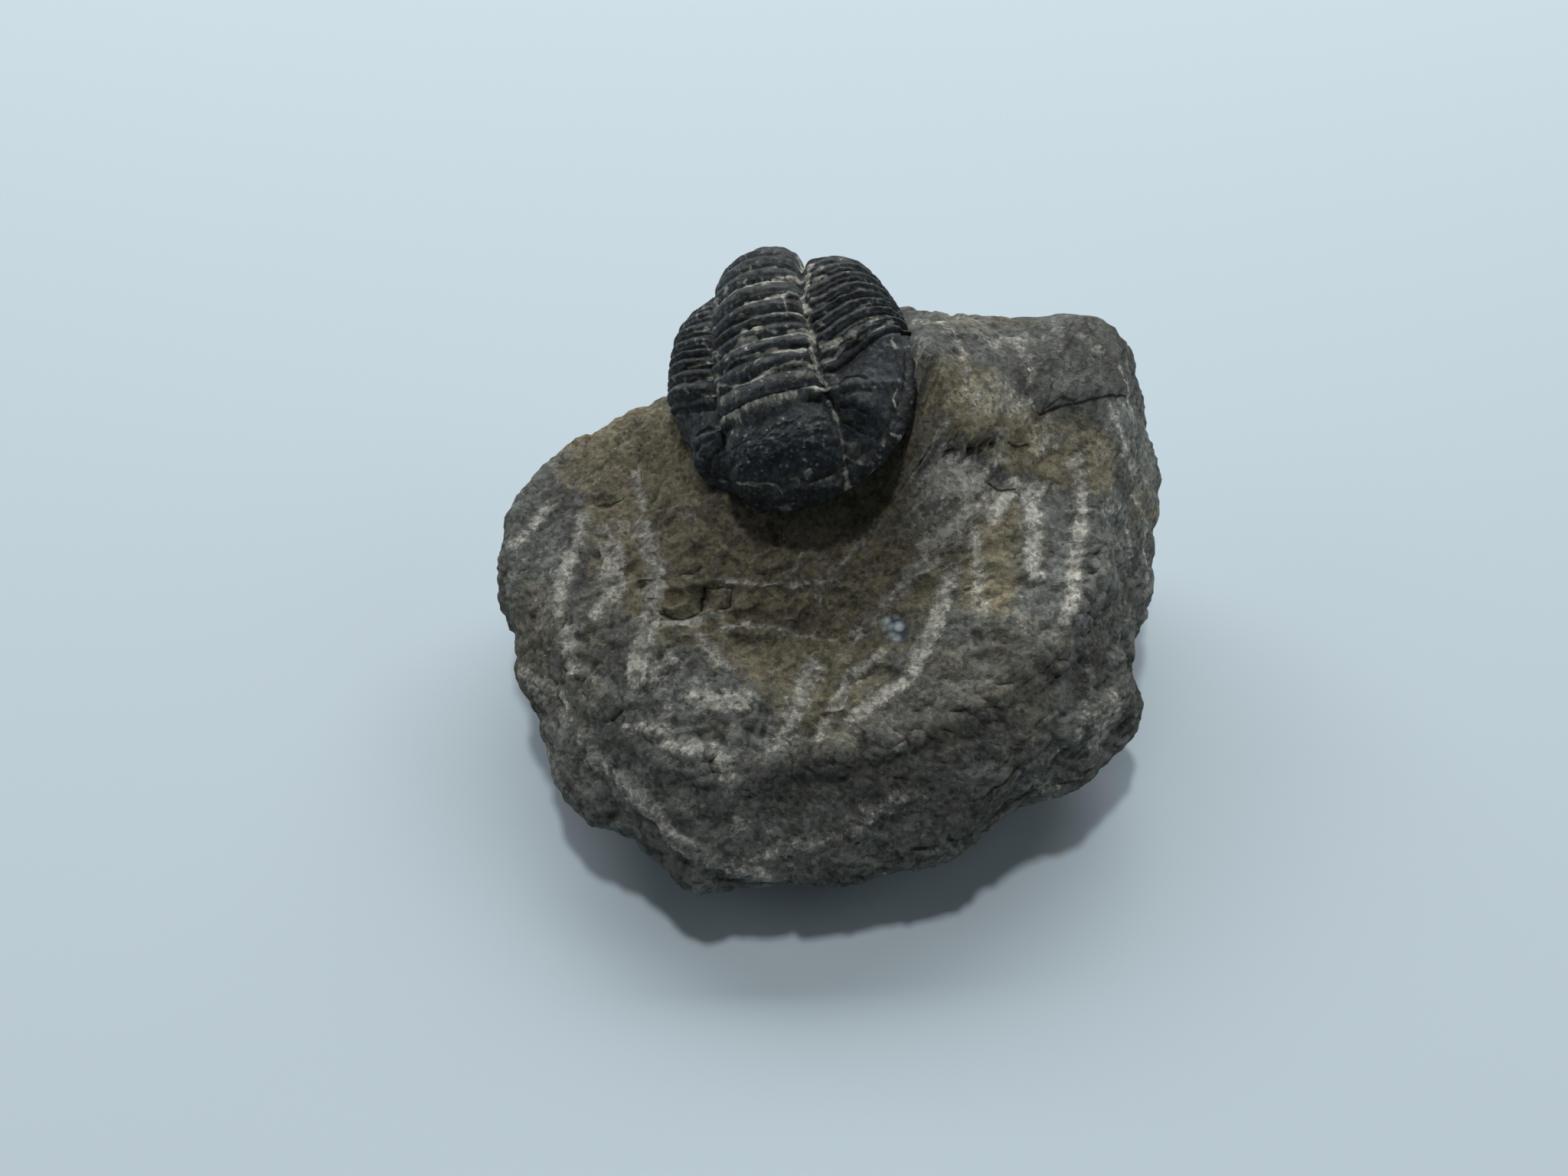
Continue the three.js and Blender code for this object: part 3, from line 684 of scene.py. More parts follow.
# Pale rock left on the trilobite: half width, strength and points along and across its back.
FURROW_ROCK = [
    (0.10, 0.5, [(20.2, 0.5), (20.1, 1.1), (20.3, 2.3)]),
    (0.22, 0.7, [(19.5, 3.2)]),
    (0.08, 0.55, [(18.6, -0.6), (18.6, 0.9), (18.7, 1.9)]),
    (0.10, 0.85, [(17.0, -1.6), (17.2, -0.6), (17.1, 1.1), (17.2, 1.8)]),
    (0.20, 0.9, [(17.2, 1.8), (17.4, 2.6), (17.8, 3.3)]),
    (0.16, 0.85, [(15.6, 0.0), (15.5, 0.8), (15.7, 1.8)]),
    (0.2, 0.85, [(15.7, 1.8), (15.8, 2.6), (16.1, 3.1)]),
    (0.06, 0.45, [(15.9, -1.6), (15.7, -0.6), (15.6, 0.0)]),
    (0.14, 0.6, [(14.3, 1.7), (14.2, 2.8), (14.2, 3.3)]),
    (0.06, 0.5, [(14.7, -0.6), (14.4, 0.9), (14.3, 1.7)]),
    (0.10, 0.6, [(15.4, 2.4), (14.4, 2.5), (13.9, 2.5)]),
    (0.06, 0.5, [(13.9, 0.1), (13.7, 1.3), (13.6, 2.4)]),
    (0.2, 0.75, [(13.6, -0.3), (13.4, 0.3), (13.2, 1.1)]),
    (0.1, 0.7, [(13.2, 1.1), (12.8, 1.7)]),
    (0.1, 0.75, [(12.6, -1.9), (12.6, -1.1), (12.8, -0.4)]),
    (0.32, 0.8, [(12.8, -0.4), (12.6, 0.5)]),
    (0.1, 0.85, [(12.6, 0.5), (12.4, 1.6), (12.5, 2.4)]),
    (0.24, 0.95, [(12.5, 2.5), (12.8, 3.5)]),
    (0.08, 0.8, [(11.5, -2.2), (11.8, -1.1), (11.6, 0.0)]),
    (0.14, 0.95, [(11.6, 0.0), (11.5, 0.9), (11.5, 1.5), (11.2, 2.7), (11.2, 3.2)]),
    (0.09, 0.75, [(10.8, -2.8), (10.2, -1.6), (9.9, -0.4), (10.0, 0.1)]),
    (0.15, 0.95, [(10.0, 0.1), (10.2, 0.7), (10.3, 1.4), (10.4, 2.6), (10.3, 3.1), (10.1, 3.3)]),
    (0.35, 0.42, [(9.6, 2.5), (9.6, 3.2)]),
    (0.5, 0.42, [(9.9, -2.6), (9.3, -1.0)]),
    (0.06, 1.0, [(8.6, -4.2), (8.4, -3.4), (8.37, -2.5)]),
    (0.09, 1.0, [(8.37, -2.4), (8.37, -1.6)]),
    (0.065, 1.0, [(8.37, -1.6), (8.37, 1.2)]),
    (0.09, 1.0, [(8.37, 1.1), (8.37, 1.9)]),
    (0.07, 1.0, [(8.38, 2.1), (8.4, 2.9), (8.43, 3.9)]),
    (0.2, 0.4, [(8.2, 1.9), (8.15, 2.6)]),
    (0.18, 0.9, [(19.6, 3.9), (18.4, 3.8), (17.3, 3.7), (16.6, 3.6), (15.9, 3.3), (15.3, 3.5), (14.7, 3.7)]),
    (0.12, 0.5, [(14.7, 3.7), (13.5, 3.5), (12.9, 3.7)]),
    (0.17, 0.9, [(12.9, 3.7), (11.9, 3.7), (10.9, 3.6), (9.9, 3.6), (9.3, 3.7), (8.8, 3.9), (8.4, 4.0)]),
    (0.38, 0.4, [(12.5, 4.1)]),
    (0.4, 0.85, [(11.5, 4.3), (11.2, 5.2)]),
    (0.12, 0.9, [(7.6, 3.8), (7.0, 3.85), (6.3, 3.95)]),
    (0.07, 0.75, [(6.3, 3.95), (5.3, 3.85), (4.4, 3.8), (3.7, 3.6), (3.0, 3.5), (2.4, 3.3), (1.8, 2.8)]),
    (0.4, 0.45, [(4.4, 4.1), (3.9, 4.3)]),
    (0.07, 0.65, [(3.6, 3.7), (3.4, 4.0), (3.5, 4.7), (3.8, 5.1)]),
    (0.05, 0.6, [(3.8, 5.1), (3.2, 4.7)]),
    (0.06, 0.75, [(4.3, -3.3), (3.6, -2.5), (3.0, -1.9), (2.7, -1.4), (2.4, -0.8), (2.1, -0.7)]),
    (0.06, 0.75, [(2.4, 0.2), (2.35, 0.6)]),
    (0.07, 1.0, [(2.4, 1.1), (2.6, 1.45)]),
    (0.06, 0.55, [(2.35, 2.2), (2.4, 2.7)]),
    (0.08, 0.45, [(2.0, 1.3), (2.0, 1.8)]),
    (0.25, 0.5, [(1.5, -1.5), (1.1, -0.6)]),
    (0.07, 0.75, [(7.9, -2.6)]), (0.09, 0.8, [(7.5, -1.5)]), (0.07, 0.6, [(7.6, -2.2)]),
    (0.14, 0.5, [(6.6, -0.2)]), (0.08, 0.6, [(6.7, -0.9)]), (0.11, 0.85, [(4.4, 1.7)]),
    (0.09, 0.6, [(4.0, -0.2)]), (0.09, 0.65, [(3.1, 1.4)]), (0.12, 0.55, [(3.5, 2.2)]),
    (0.1, 0.6, [(7.2, -1.7)]), (0.12, 0.55, [(7.8, 1.1)]), (0.12, 0.6, [(3.1, 3.1)]),
    (0.08, 0.45, [(6.4, 2.2), (5.8, 2.5)]), (0.12, 0.5, [(6.0, 4.9)]), (0.06, 0.9, [(7.7, -5.4)]),
    (0.09, 0.75, [(18.8, 4.1), (19.0, 4.5), (19.4, 5.5)]),
    (0.1, 0.8, [(17.8, 5.6), (18.1, 6.2), (18.8, 6.8)]),
    (0.12, 0.8, [(17.4, 4.1), (17.7, 4.7), (17.5, 5.1)]),
    (0.1, 0.65, [(15.9, 4.9), (16.3, 5.6), (16.6, 6.3), (17.0, 7.0)]),
    (0.12, 0.65, [(15.7, 4.0), (15.7, 4.5), (15.5, 4.9)]),
    (0.2, 0.55, [(15.1, 6.1), (15.8, 6.7), (16.3, 7.4)]),
    (0.25, 0.5, [(14.7, 4.3), (14.8, 5.2)]),
    (0.2, 0.9, [(14.7, 3.6), (14.5, 4.1)]),
    (0.16, 0.6, [(13.3, 6.2), (13.9, 6.8), (14.5, 7.2)]),
    (0.15, 0.65, [(13.1, 4.4), (12.7, 4.8)]),
    (0.2, 0.55, [(11.3, 5.7), (11.9, 6.4), (12.4, 7.2), (12.9, 7.8)]),
    (0.08, 0.9, [(11.1, 5.7), (11.1, 6.4), (11.6, 7.1), (12.0, 7.7), (13.0, 8.3)]),
    (0.13, 0.85, [(10.3, 4.0), (10.3, 4.7), (10.6, 5.2), (11.0, 5.6)]),
    (0.15, 0.6, [(9.5, 3.8), (9.3, 4.5)]),
    (0.06, 0.85, [(10.8, 8.1), (10.3, 8.2)]), (0.05, 0.85, [(7.9, 7.8), (7.4, 7.4), (6.9, 7.4)]),
    (0.05, 0.8, [(5.4, 6.7), (5.5, 7.1)]), (0.06, 0.7, [(5.0, 6.2), (4.7, 6.0)]),
    (0.14, 0.75, [(17.6, -2.4), (17.1, -2.4), (18.0, -3.7)]),
    (0.07, 0.7, [(16.8, -1.9), (17.3, -1.6)]),
    (0.07, 0.7, [(17.0, -4.9), (16.6, -4.1), (15.3, -2.5)]),
    (0.08, 0.85, [(13.7, -5.2), (13.5, -4.3), (13.2, -3.1), (12.7, -2.2)]),
    (0.08, 0.8, [(12.4, -5.4), (12.1, -3.8), (11.5, -2.6)]),
    (0.12, 0.8, [(11.0, -4.6), (10.8, -4.3), (10.5, -3.1), (10.8, -2.6)]),
    (0.06, 0.5, [(8.6, -6.8), (8.5, -5.5)]),
]

# Creases round the eye, along the back and out from the middle.
EYE_CREASES = [
    (0.13, 1.0, [(8.3, 4.5), (8.75, 5.2), (8.7, 6.0), (8.2, 6.6)]),
    (0.1, 0.8, [(8.0, 4.9), (8.15, 5.6), (7.9, 6.2)]),
    (0.12, 1.0, [(7.2, 4.5), (7.15, 5.2), (6.6, 5.8)]),
    (0.1, 0.6, [(6.0, 4.4), (5.3, 5.0), (5.0, 5.7)]),
]

# Ridges, steps and gouges of the stone: half width, height and points.
STONE_FORMS = [
    (1.1, 0.4, [(-16.6, -8.3, 9.3), (-11.3, -13.1, 9.6), (-6.5, -14.3, 9.5), (-0.2, -13.3, 10.0)]),
    (1.1, 0.45, [
        (-0.2, -13.3, 10.0), (5.0, -11.9, 11.1), (9.9, -9.8, 12.1), (14.5, -7.0, 12.1), (17.5, -2.2, 12.7),
    ]),
    (1.2, 0.35, [(15.2, 9.0, 18.7), (17.2, 9.9, 18.4), (19.0, 10.7, 17.8)]),
    (0.9, 0.6, [(15.1, -11.4, 9.0), (17.4, -9.7, 8.7), (19.0, -8.4, 8.0)]),
    (0.6, -0.7, [(19.6, -4.5, 8.6), (20.1, -5.6, 7.5)]),
    (0.4, -0.25, [(-11.9, 2.1, 12.7), (-12.0, -2.6, 11.9), (-12.0, -7.0, 11.0)]),
    (0.35, 0.22, [(-7.5, -4.7, 11.2), (-0.1, -5.8, 11.2)]),
    (0.6, -0.35, [(-10.6, -2.7, 12.0), (-8.6, -2.8, 11.6)]),
    (0.3, -0.45, [(6.1, 4.8, 17.3), (7.7, 4.9, 17.8), (8.7, 4.8, 17.9), (10.4, 5.4, 17.7)]),
    (1.0, 0.3, [(-17.3, 3.0, 11.4), (-18.2, -1.0, 10.8), (-17.2, -6.5, 9.6)]),
    (1.3, 0.35, [(6.4, 6.4, 18.5), (8.5, 6.2, 18.5)]),
    (0.7, -0.3, [(12.6, 8.6, 18.6), (13.4, 7.0, 17.8)]),
]

# Pale bruises and tool marks on the stone: half width, strength and points, in millimetres.
CHALK = [
    (0.4, 0.75, [
        (-17.2, 3.6, 11.5), (-17.4, 1.6, 11.3), (-18.1, -0.6, 10.9),
        (-18.3, -3.1, 10.4), (-17.5, -5.3, 10.0), (-17.2, -6.9, 9.5),
    ]),
    (0.25, 0.5, [(-18.8, -3.0, 10.2), (-20.0, -1.9, 10.0)]),
    (0.6, 0.9, [(-15.0, 1.2, 11.8), (-14.8, -1.9, 11.6)]),
    (0.35, 0.7, [(-15.8, -3.2, 11.2), (-15.8, -3.6, 11.1)]),
    (0.23, 0.7, [(-13.9, 7.1, 12.4), (-13.2, 4.4, 12.5), (-13.1, 2.5, 12.5)]),
    (0.4, 1.0, [
        (-13.1, 2.5, 12.5), (-12.0, -0.3, 12.3), (-12.0, -2.6, 11.9),
        (-12.3, -4.7, 11.4), (-12.7, -6.9, 11.0), (-12.9, -8.1, 10.6),
    ]),
    (0.4, 0.6, [(-19.9, 5.1, 10.9), (-21.0, 3.6, 10.5), (-22.0, 2.5, 10.0)]),
    (0.6, 0.35, [(-21.7, 0.9, 9.9), (-22.2, -0.4, 9.2)]),
    (0.7, 0.5, [(-21.0, -6.3, 7.3), (-18.6, -7.8, 8.4), (-17.7, -10.1, 8.0)]),
    (0.15, 0.75, [(-12.0, -4.6, 11.5), (-9.3, -4.4, 11.4), (-7.6, -3.8, 11.4)]),
    (0.17, 0.6, [(-7.6, -4.8, 11.2), (-6.0, -4.3, 11.1), (-4.7, -4.5, 10.8)]),
    (0.3, 0.6, [(-8.8, -5.4, 11.2), (-7.7, -6.7, 11.1), (-7.1, -7.6, 11.2)]),
    (0.25, 0.5, [(-10.9, -7.0, 11.1), (-10.2, -7.6, 11.2)]),
    (0.58, 0.82, [(-9.3, -9.4, 11.1), (-7.8, -10.0, 11.1), (-5.9, -10.0, 11.1)]),
    (0.3, 0.65, [(-13.4, -11.1, 9.4), (-10.9, -11.4, 10.4)]),
    (0.25, 0.7, [(-10.9, -10.1, 10.7), (-10.9, -11.9, 10.2)]),
    (0.4, 0.5, [(-15.8, 2.8, 11.7), (-13.7, 2.6, 12.3), (-12.6, 2.4, 12.6)]),
    (0.11, 0.5, [(-11.9, 3.7, 12.9), (-9.3, 2.6, 13.3)]),
    (0.36, 0.78, [
        (15.7, 5.1, 16.2), (16.4, 3.9, 15.5), (16.3, 1.9, 14.8), (15.8, 0.2, 14.3), (15.5, -2.2, 13.7),
    ]),
    (0.4, 0.82, [(13.3, 3.4, 15.6), (12.9, 2.1, 15.1), (12.9, 0.1, 14.5), (12.9, -2.3, 14.1)]),
    (0.35, 0.85, [(11.7, 3.4, 15.9), (10.8, 2.2, 15.5), (10.2, 1.2, 15.2)]),
    (0.35, 0.8, [(6.3, -1.3, 13.9), (4.6, -1.9, 13.2)]),
    (0.2, 0.75, [(9.0, 0.4, 15.1), (9.2, -2.1, 14.0), (9.3, -3.6, 13.6)]),
    (0.25, 0.75, [(15.5, -2.4, 13.6), (15.3, -3.6, 13.3), (14.4, -5.3, 12.9)]),
    (0.5, 0.75, [(8.8, 1.3, 15.6), (7.4, 0.5, 14.9), (5.9, -0.3, 14.3)]),
    (0.4, 0.5, [(18.0, 2.6, 14.4), (19.2, 3.1, 13.6)]),
    (0.4, 0.6, [(18.3, 8.4, 17.4), (19.1, 7.6, 16.3), (19.5, 6.6, 15.2), (20.6, 6.5, 13.4)]),
    (0.2, 0.6, [(18.8, 11.2, 18.4), (20.1, 10.5, 16.8), (20.6, 10.0, 15.5)]),
    (0.2, 0.65, [(16.8, 13.0, 19.3), (18.0, 11.8, 19.0)]),
    (0.45, 0.35, [(15.3, 14.6, 18.7), (14.9, 11.7, 19.3), (15.7, 10.6, 19.0)]),
    (0.4, 0.5, [(20.4, 12.9, 17.2)]),
    (0.25, 0.5, [(9.1, 12.6, 20.5), (11.0, 12.2, 20.2), (12.4, 13.2, 19.5), (13.8, 12.8, 19.3)]),
    (0.25, 0.6, [(13.0, 9.8, 19.2), (13.0, 9.6, 19.1)]),
    (0.35, 0.65, [(11.0, 7.5, 19.0), (11.1, 7.7, 19.0)]),
    (0.25, 0.5, [(8.3, 10.5, 20.9), (8.0, 8.8, 20.1), (8.0, 7.8, 19.7)]),
    (0.12, 0.6, [(6.3, 8.2, 19.2), (6.2, 6.7, 18.7), (6.9, 6.4, 18.7)]),
    (0.2, 0.6, [(10.6, 6.1, 18.1), (10.8, 5.3, 17.5), (10.6, 4.3, 16.8)]),
    (0.25, 0.5, [(13.4, 6.7, 17.6), (13.5, 5.2, 16.5)]),
    (0.25, 0.4, [(8.4, 3.0, 16.6), (8.5, 1.6, 15.8)]),
    (0.15, 0.6, [(20.6, 4.9, 12.7), (21.7, 4.7, 9.9), (21.8, 2.6, 8.9), (21.8, 1.0, 8.0)]),
    (0.15, 0.45, [(21.9, 7.3, 11.8), (22.4, 6.1, 9.4)]),
    (0.15, 0.5, [(20.0, 2.9, 12.5), (20.4, 1.3, 10.3)]),
    (0.3, 0.7, [(-10.6, -12.7, 9.9), (-8.7, -13.0, 10.1)]),
    (0.36, 0.7, [(-7.9, -12.9, 10.1), (-7.2, -13.7, 9.9), (-6.7, -15.2, 9.0)]),
    (0.55, 0.75, [(-1.6, -7.7, 11.3), (-2.4, -10.0, 11.4), (-3.4, -12.3, 10.8)]),
    (0.25, 0.6, [(-3.4, -12.3, 10.8), (-4.6, -13.7, 9.9)]),
    (0.3, 0.75, [(2.8, -7.1, 11.8), (0.8, -8.4, 11.6), (-0.2, -10.7, 11.3), (-1.2, -12.3, 10.7)]),
    (0.38, 0.85, [
        (7.5, -2.1, 13.9), (6.5, -5.0, 12.6), (4.7, -8.7, 11.9), (2.7, -10.1, 11.7), (0.9, -11.2, 11.1),
    ]),
    (0.4, 0.5, [(9.1, -2.1, 14.0), (9.2, -4.8, 13.1)]),
    (0.2, 0.5, [(3.4, -11.7, 11.1), (3.6, -12.9, 10.4)]),
    (0.25, 0.5, [(6.8, -9.4, 12.0), (6.9, -9.5, 12.0)]),
    (0.25, 0.6, [(-8.3, -6.2, 11.2), (-7.6, -7.3, 11.1)]),
    (0.17, 0.5, [(16.3, -6.5, 11.1), (16.8, -8.1, 10.0), (15.4, -11.0, 9.1), (14.0, -12.9, 8.5)]),
    (0.6, 0.75, [(17.9, -10.2, 7.8), (16.9, -11.4, 7.7)]),
    (0.4, 0.7, [(12.9, -14.2, 7.4), (14.0, -14.1, 6.2)]),
    (0.9, 0.75, [(18.2, -9.2, 8.3), (17.2, -10.3, 8.3)]),
    (0.3, 1.0, [(5.9, 5.0, 17.4), (7.4, 3.5, 16.8), (9.4, 2.7, 16.2)]),
    (0.3, 1.0, [(7.0, 5.4, 17.9), (7.6, 4.2, 17.2)]),
    (0.25, 1.0, [(6.0, 3.2, 16.2), (7.0, 2.4, 16.0)]),
    (0.3, 1.0, [(8.6, 4.2, 17.1), (9.2, 3.2, 16.5)]),
    (0.25, 1.0, [(4.9, 3.4, 15.9), (5.6, 2.4, 15.5)]),
    (0.7, 0.4, [(-20.6, -6.9, 7.2), (-16.6, -11.0, 7.9)]),
    (0.3, 0.5, [(-6.5, -17.0, 7.8), (-4.6, -17.4, 7.6)]),
    (0.35, 0.5, [(1.4, -16.4, 8.3), (2.2, -16.5, 8.3)]),
    (0.15, 0.6, [(-7.5, -4.5, 11.2), (-4.1, -4.4, 10.8), (-0.1, -5.6, 11.2)]),
    (0.17, 0.5, [(1.9, -4.1, 12.1), (4.4, -2.4, 13.0), (5.9, -1.4, 13.8)]),
    (0.14, 0.62, [(-7.7, -1.5, 12.3), (-5.4, -1.7, 12.1), (-3.0, -2.0, 12.1), (0.4, -1.8, 12.8)]),
    (0.1, 0.6, [(-2.1, 0.2, 13.3), (-3.0, -1.6, 12.3)]),
    (0.14, 0.65, [(2.6, 1.5, 14.1), (1.5, 0.3, 13.5), (-0.7, -1.7, 12.6)]),
    (0.12, 0.6, [(-1.2, -3.0, 12.1), (0.1, -4.3, 11.6)]),
    (0.3, 0.62, [(4.3, -2.6, 12.9), (2.8, -3.9, 12.2), (1.1, -5.5, 11.5)]),
    (0.17, 0.45, [(5.7, 2.9, 16.0), (7.4, 2.2, 16.1), (8.6, 2.6, 16.4)]),
    (0.2, 0.75, [(5.9, 14.8, 18.4), (6.6, 10.7, 19.9)]),
    (0.12, 0.7, [(5.4, 14.1, 18.4), (5.8, 10.5, 19.3)]),
    (0.25, 0.7, [(7.1, 14.2, 19.1), (7.6, 11.2, 20.6)]),
    (0.2, 0.65, [(5.5, 10.1, 19.1), (5.9, 8.3, 18.9), (6.0, 6.9, 18.6)]),
    (0.12, 0.7, [(5.2, 11.4, 19.2), (5.5, 8.4, 18.7), (5.5, 6.4, 18.0)]),
    (0.2, 0.7, [(8.2, 10.5, 20.9), (7.9, 8.6, 20.0), (8.0, 7.6, 19.7)]),
    (0.12, 0.8, [(5.7, 6.9, 18.3), (7.4, 6.3, 18.8)]),
    (0.3, 0.75, [(4.9, 5.4, 17.2), (4.6, 4.4, 16.5)]),
    (0.35, 0.7, [(6.2, 4.5, 17.1), (7.4, 2.6, 16.4)]),
    (0.3, 0.65, [(7.4, 4.8, 17.6), (8.5, 1.8, 15.8)]),
    (0.3, 0.7, [(4.5, 4.0, 16.2), (6.2, 3.5, 16.5)]),
    (0.3, 0.55, [(10.4, 6.2, 18.3), (11.0, 4.7, 16.9)]),
    (0.45, 0.5, [(11.8, 12.9, 19.7), (13.0, 10.8, 19.4)]),
    (0.2, 0.6, [(13.1, 8.4, 18.7), (12.8, 7.3, 18.0)]),
    (1.2, 0.5, [(5.0, 3.6, 16.3), (7.6, 3.4, 16.8), (9.6, 2.4, 15.9)]),
    (1.0, 0.46, [(5.4, 1.2, 15.2), (8.2, 0.2, 14.8)]),
    (0.8, 0.46, [(9.0, 7.5, 19.4), (10.6, 8.6, 19.6), (12.0, 8.0, 18.8)]),
    (1.0, 0.3, [(14.5, 6.6, 17.2), (17.6, 6.0, 16.0)]),
    (0.7, 0.5, [(-15.4, -0.6, 11.5), (-15.2, -2.6, 11.3)]),
    (0.9, 0.3, [(-19.0, 1.5, 10.8), (-19.6, -5.0, 9.2)]),
]

# Worn pale edges that stand up a little: half width, strength and points.
RIDGE = [
    (0.5, 0.65, [
        (-15.5, -12.3, 7.8), (-13.6, -14.4, 7.8), (-11.1, -16.6, 7.4),
        (-9.9, -18.0, 6.6), (-7.0, -19.3, 5.9), (-4.3, -19.4, 5.6),
    ]),
    (0.5, 0.6, [(-6.5, -19.1, 6.2), (-2.2, -18.2, 7.0), (1.2, -17.4, 7.7), (3.8, -15.6, 8.8)]),
]

# Dark cracks and the rim of a flaked scar: half width, strength and points.
CRACK = [
    (0.12, 1, [
        (13.6, 7.5, 17.9), (14.5, 8.1, 18.2), (16.1, 8.4, 18.2), (17.6, 9.1, 17.9), (19.5, 9.8, 17.2),
    ]),
    (0.12, 1, [(6.1, 4.8, 17.3), (7.7, 4.9, 17.8), (8.7, 4.8, 17.9), (10.4, 5.4, 17.7)]),
    (0.1, 1, [(11.3, 5.7, 17.5), (12.2, 5.6, 17.0), (12.9, 6.0, 17.2)]),
    (0.16, 1, [(-16.3, 4.9, 11.8), (-15.6, 4.8, 12.0), (-14.9, 5.1, 12.2)]),
    (0.12, 1, [
        (-11.5, -3.9, 11.6), (-10.0, -4.1, 11.5), (-9.3, -3.8, 11.5), (-8.8, -3.1, 11.7), (-8.5, -2.1, 12.0),
    ]),
    (0.08, 0.8, [
        (-8.5, -2.1, 12.0), (-7.7, -1.9, 12.1), (-6.8, -2.1, 11.9), (-7.1, -3.2, 11.5), (-8.0, -3.4, 11.5),
    ]),
    (0.08, 0.7, [(-10.6, -1.1, 12.2), (-9.4, -1.2, 12.3), (-8.9, -0.9, 12.5)]),
    (0.1, 0.8, [(14.3, 8.8, 18.5), (14.4, 9.7, 19.0), (14.7, 10.0, 19.0)]),
    (0.1, 0.8, [(9.9, 3.2, 16.3), (10.8, 2.9, 15.9), (11.9, 3.2, 15.8)]),
]

# Middles of the ochre and brown ground: reach, strength and points. The first of them lie in the hollow,
# which also gets painted shade.
HOLLOW = [
    (5, 1, [(-12.5, 4.7, 12.7), (-10.2, -0.5, 12.2)]),
    (3.8, 1, [(-10.2, -0.5, 12.2), (-3.6, -5.2, 11.2), (-0.7, -8.3, 11.4)]),
    (4, 1, [(-6.7, 1.1, 13.3), (-2.1, 1.4, 13.7), (1.5, 2.7, 14.6)]),
    (4, 0.8, [(-4.6, -3.5, 11.1), (1.4, -3.6, 12.2), (4.4, -1.4, 13.4)]),
]
BROWN = [
    *HOLLOW,
    (4, 1, [(-15.7, 10.3, 11.9), (-12.7, 8.0, 12.7)]),
    (2.2, 1, [(7.9, 7.6, 19.6), (12.1, 6.0, 17.3), (16.8, 5.3, 16.1)]),
    (2.2, 0.9, [(9.9, 1.0, 15.2), (9.8, -2.9, 13.8)]),
    (3.5, 0.35, [(-0.7, -12.3, 10.7), (6.0, -10.6, 11.6), (11.5, -7.8, 12.5)]),
    (2.5, 0.5, [(-20.1, -2.8, 9.8), (-20.6, -4.6, 8.8)]),
]

# The small shiny crystal fleck in the hollow: half width, strength and points.
FLECK = [
    (0.7, 1, [(3.7, -4.9, 12.0), (4.0, -5.5, 12.0)]),
]

# A mark of one point is painted as a line this long, in millimetres.
DOT_LENGTH = 0.01


def widened(marks, factor, extra=0.0):
    return [(factor * half + extra, strength, line) for half, strength, line in marks]


def to_line(points, normals, line):
    """Distance of points from a line laid over the surface, and the same with its sign telling the side."""
    best = np.full(len(points), np.inf)
    signed = np.full(len(points), np.inf)
    line = np.array(line, float)
    ends = line[1:] if len(line) > 1 else line + [DOT_LENGTH, 0, 0]
    for a, b in zip(line, ends):
        run = b - a
        t = np.clip((points - a) @ run / (run @ run), 0, 1)
        gap = points - a - t[:, None] * run
        off = (gap * normals).sum(1)
        gap -= 0.93 * off[:, None] * normals
        d = np.linalg.norm(gap, axis=1) + 3 * np.maximum(0, np.abs(off) - 2.5)
        side = np.sign(np.einsum("ij,ij->i", np.cross(run, normals), gap))
        signed = np.where(d < best, d * np.where(side == 0, 1, side), signed)
        best = np.minimum(best, d)
    return best, signed


def paint(points, normals, marks, soft, wander=0.0):
    """Strength from 0 to 1 of a list of marks, each (half width, strength, line), with ragged edges."""
    total = np.zeros(len(points))
    ragged = wander * layered(points * 1.6, 3, 77)
    for half, strength, line in marks:
        line = np.array(line, float)
        reach = 2.2 * half + 2.5
        near = ((points > line.min(0) - reach) & (points < line.max(0) + reach)).all(1)
        k = np.nonzero(near)[0]
        if len(k):
            d = to_line(points[k], normals[k], line)[0] + ragged[k] * half
            value = strength * (1 - smoothstep(d, half * (1 - soft), half * (1 + soft)))
            total[k] = np.maximum(total[k], value)
    return total


# Colours as a colour picker shows them. A pair is the dark and the light end of soft mottling.
GREY_GROUND = ((80, 81, 77), (109, 113, 108))
OCHRE_GROUND = ((102, 96, 80), (142, 135, 113))
CHALK_FILM = (158, 159, 151)
CHALK_GRAINS = (181, 180, 169)
RUBBED_EDGES = (152, 153, 146)
PITS = (48, 46, 42)
DARK_PATCHES = (62, 60, 55)
FAIR_PATCHES = (142, 147, 140)
CRACK_SHADOW = (30, 28, 25)
CRYSTAL = ((196, 210, 216), (74, 86, 94))
PALE_SPECKS = (150, 150, 142)
SHELL = ((45, 49, 52), (68, 75, 78))
DOME = ((36, 44, 48), (50, 59, 62))
# Painted shade on the steep band along the head's rim.
PAINTED_BORDER_SHADE = (31, 35, 39)
SHELL_BLOOM = (84, 94, 96)
SHELL_STAIN = (30, 34, 37)
SHELL_SPOTS = (118, 128, 131)
ROCK_FILM = (82, 86, 78)
FURROW_GROUND = ((126, 127, 118), (178, 179, 170))
TABLE_COLOUR = (205, 222, 231)


# Materials. Noise and cells have their scale as a number to the metre.
def new_material(name):
    material = bpy.data.materials.new(name)
    material.use_nodes = True
    nodes = material.node_tree.nodes
    nodes.clear()
    out = nodes.new("ShaderNodeOutputMaterial")
    shader = nodes.new("ShaderNodeBsdfPrincipled")
    material.node_tree.links.new(shader.outputs[0], out.inputs[0])
    return material, shader


def colour(r, g, b):
    """Linear colour from the 0 to 255 values that a colour picker shows."""
    parts = [c / 255 for c in (r, g, b)]
    return tuple(c / 12.92 if c <= 0.04045 else ((c + 0.055) / 1.055) ** 2.4 for c in parts) + (1.0,)


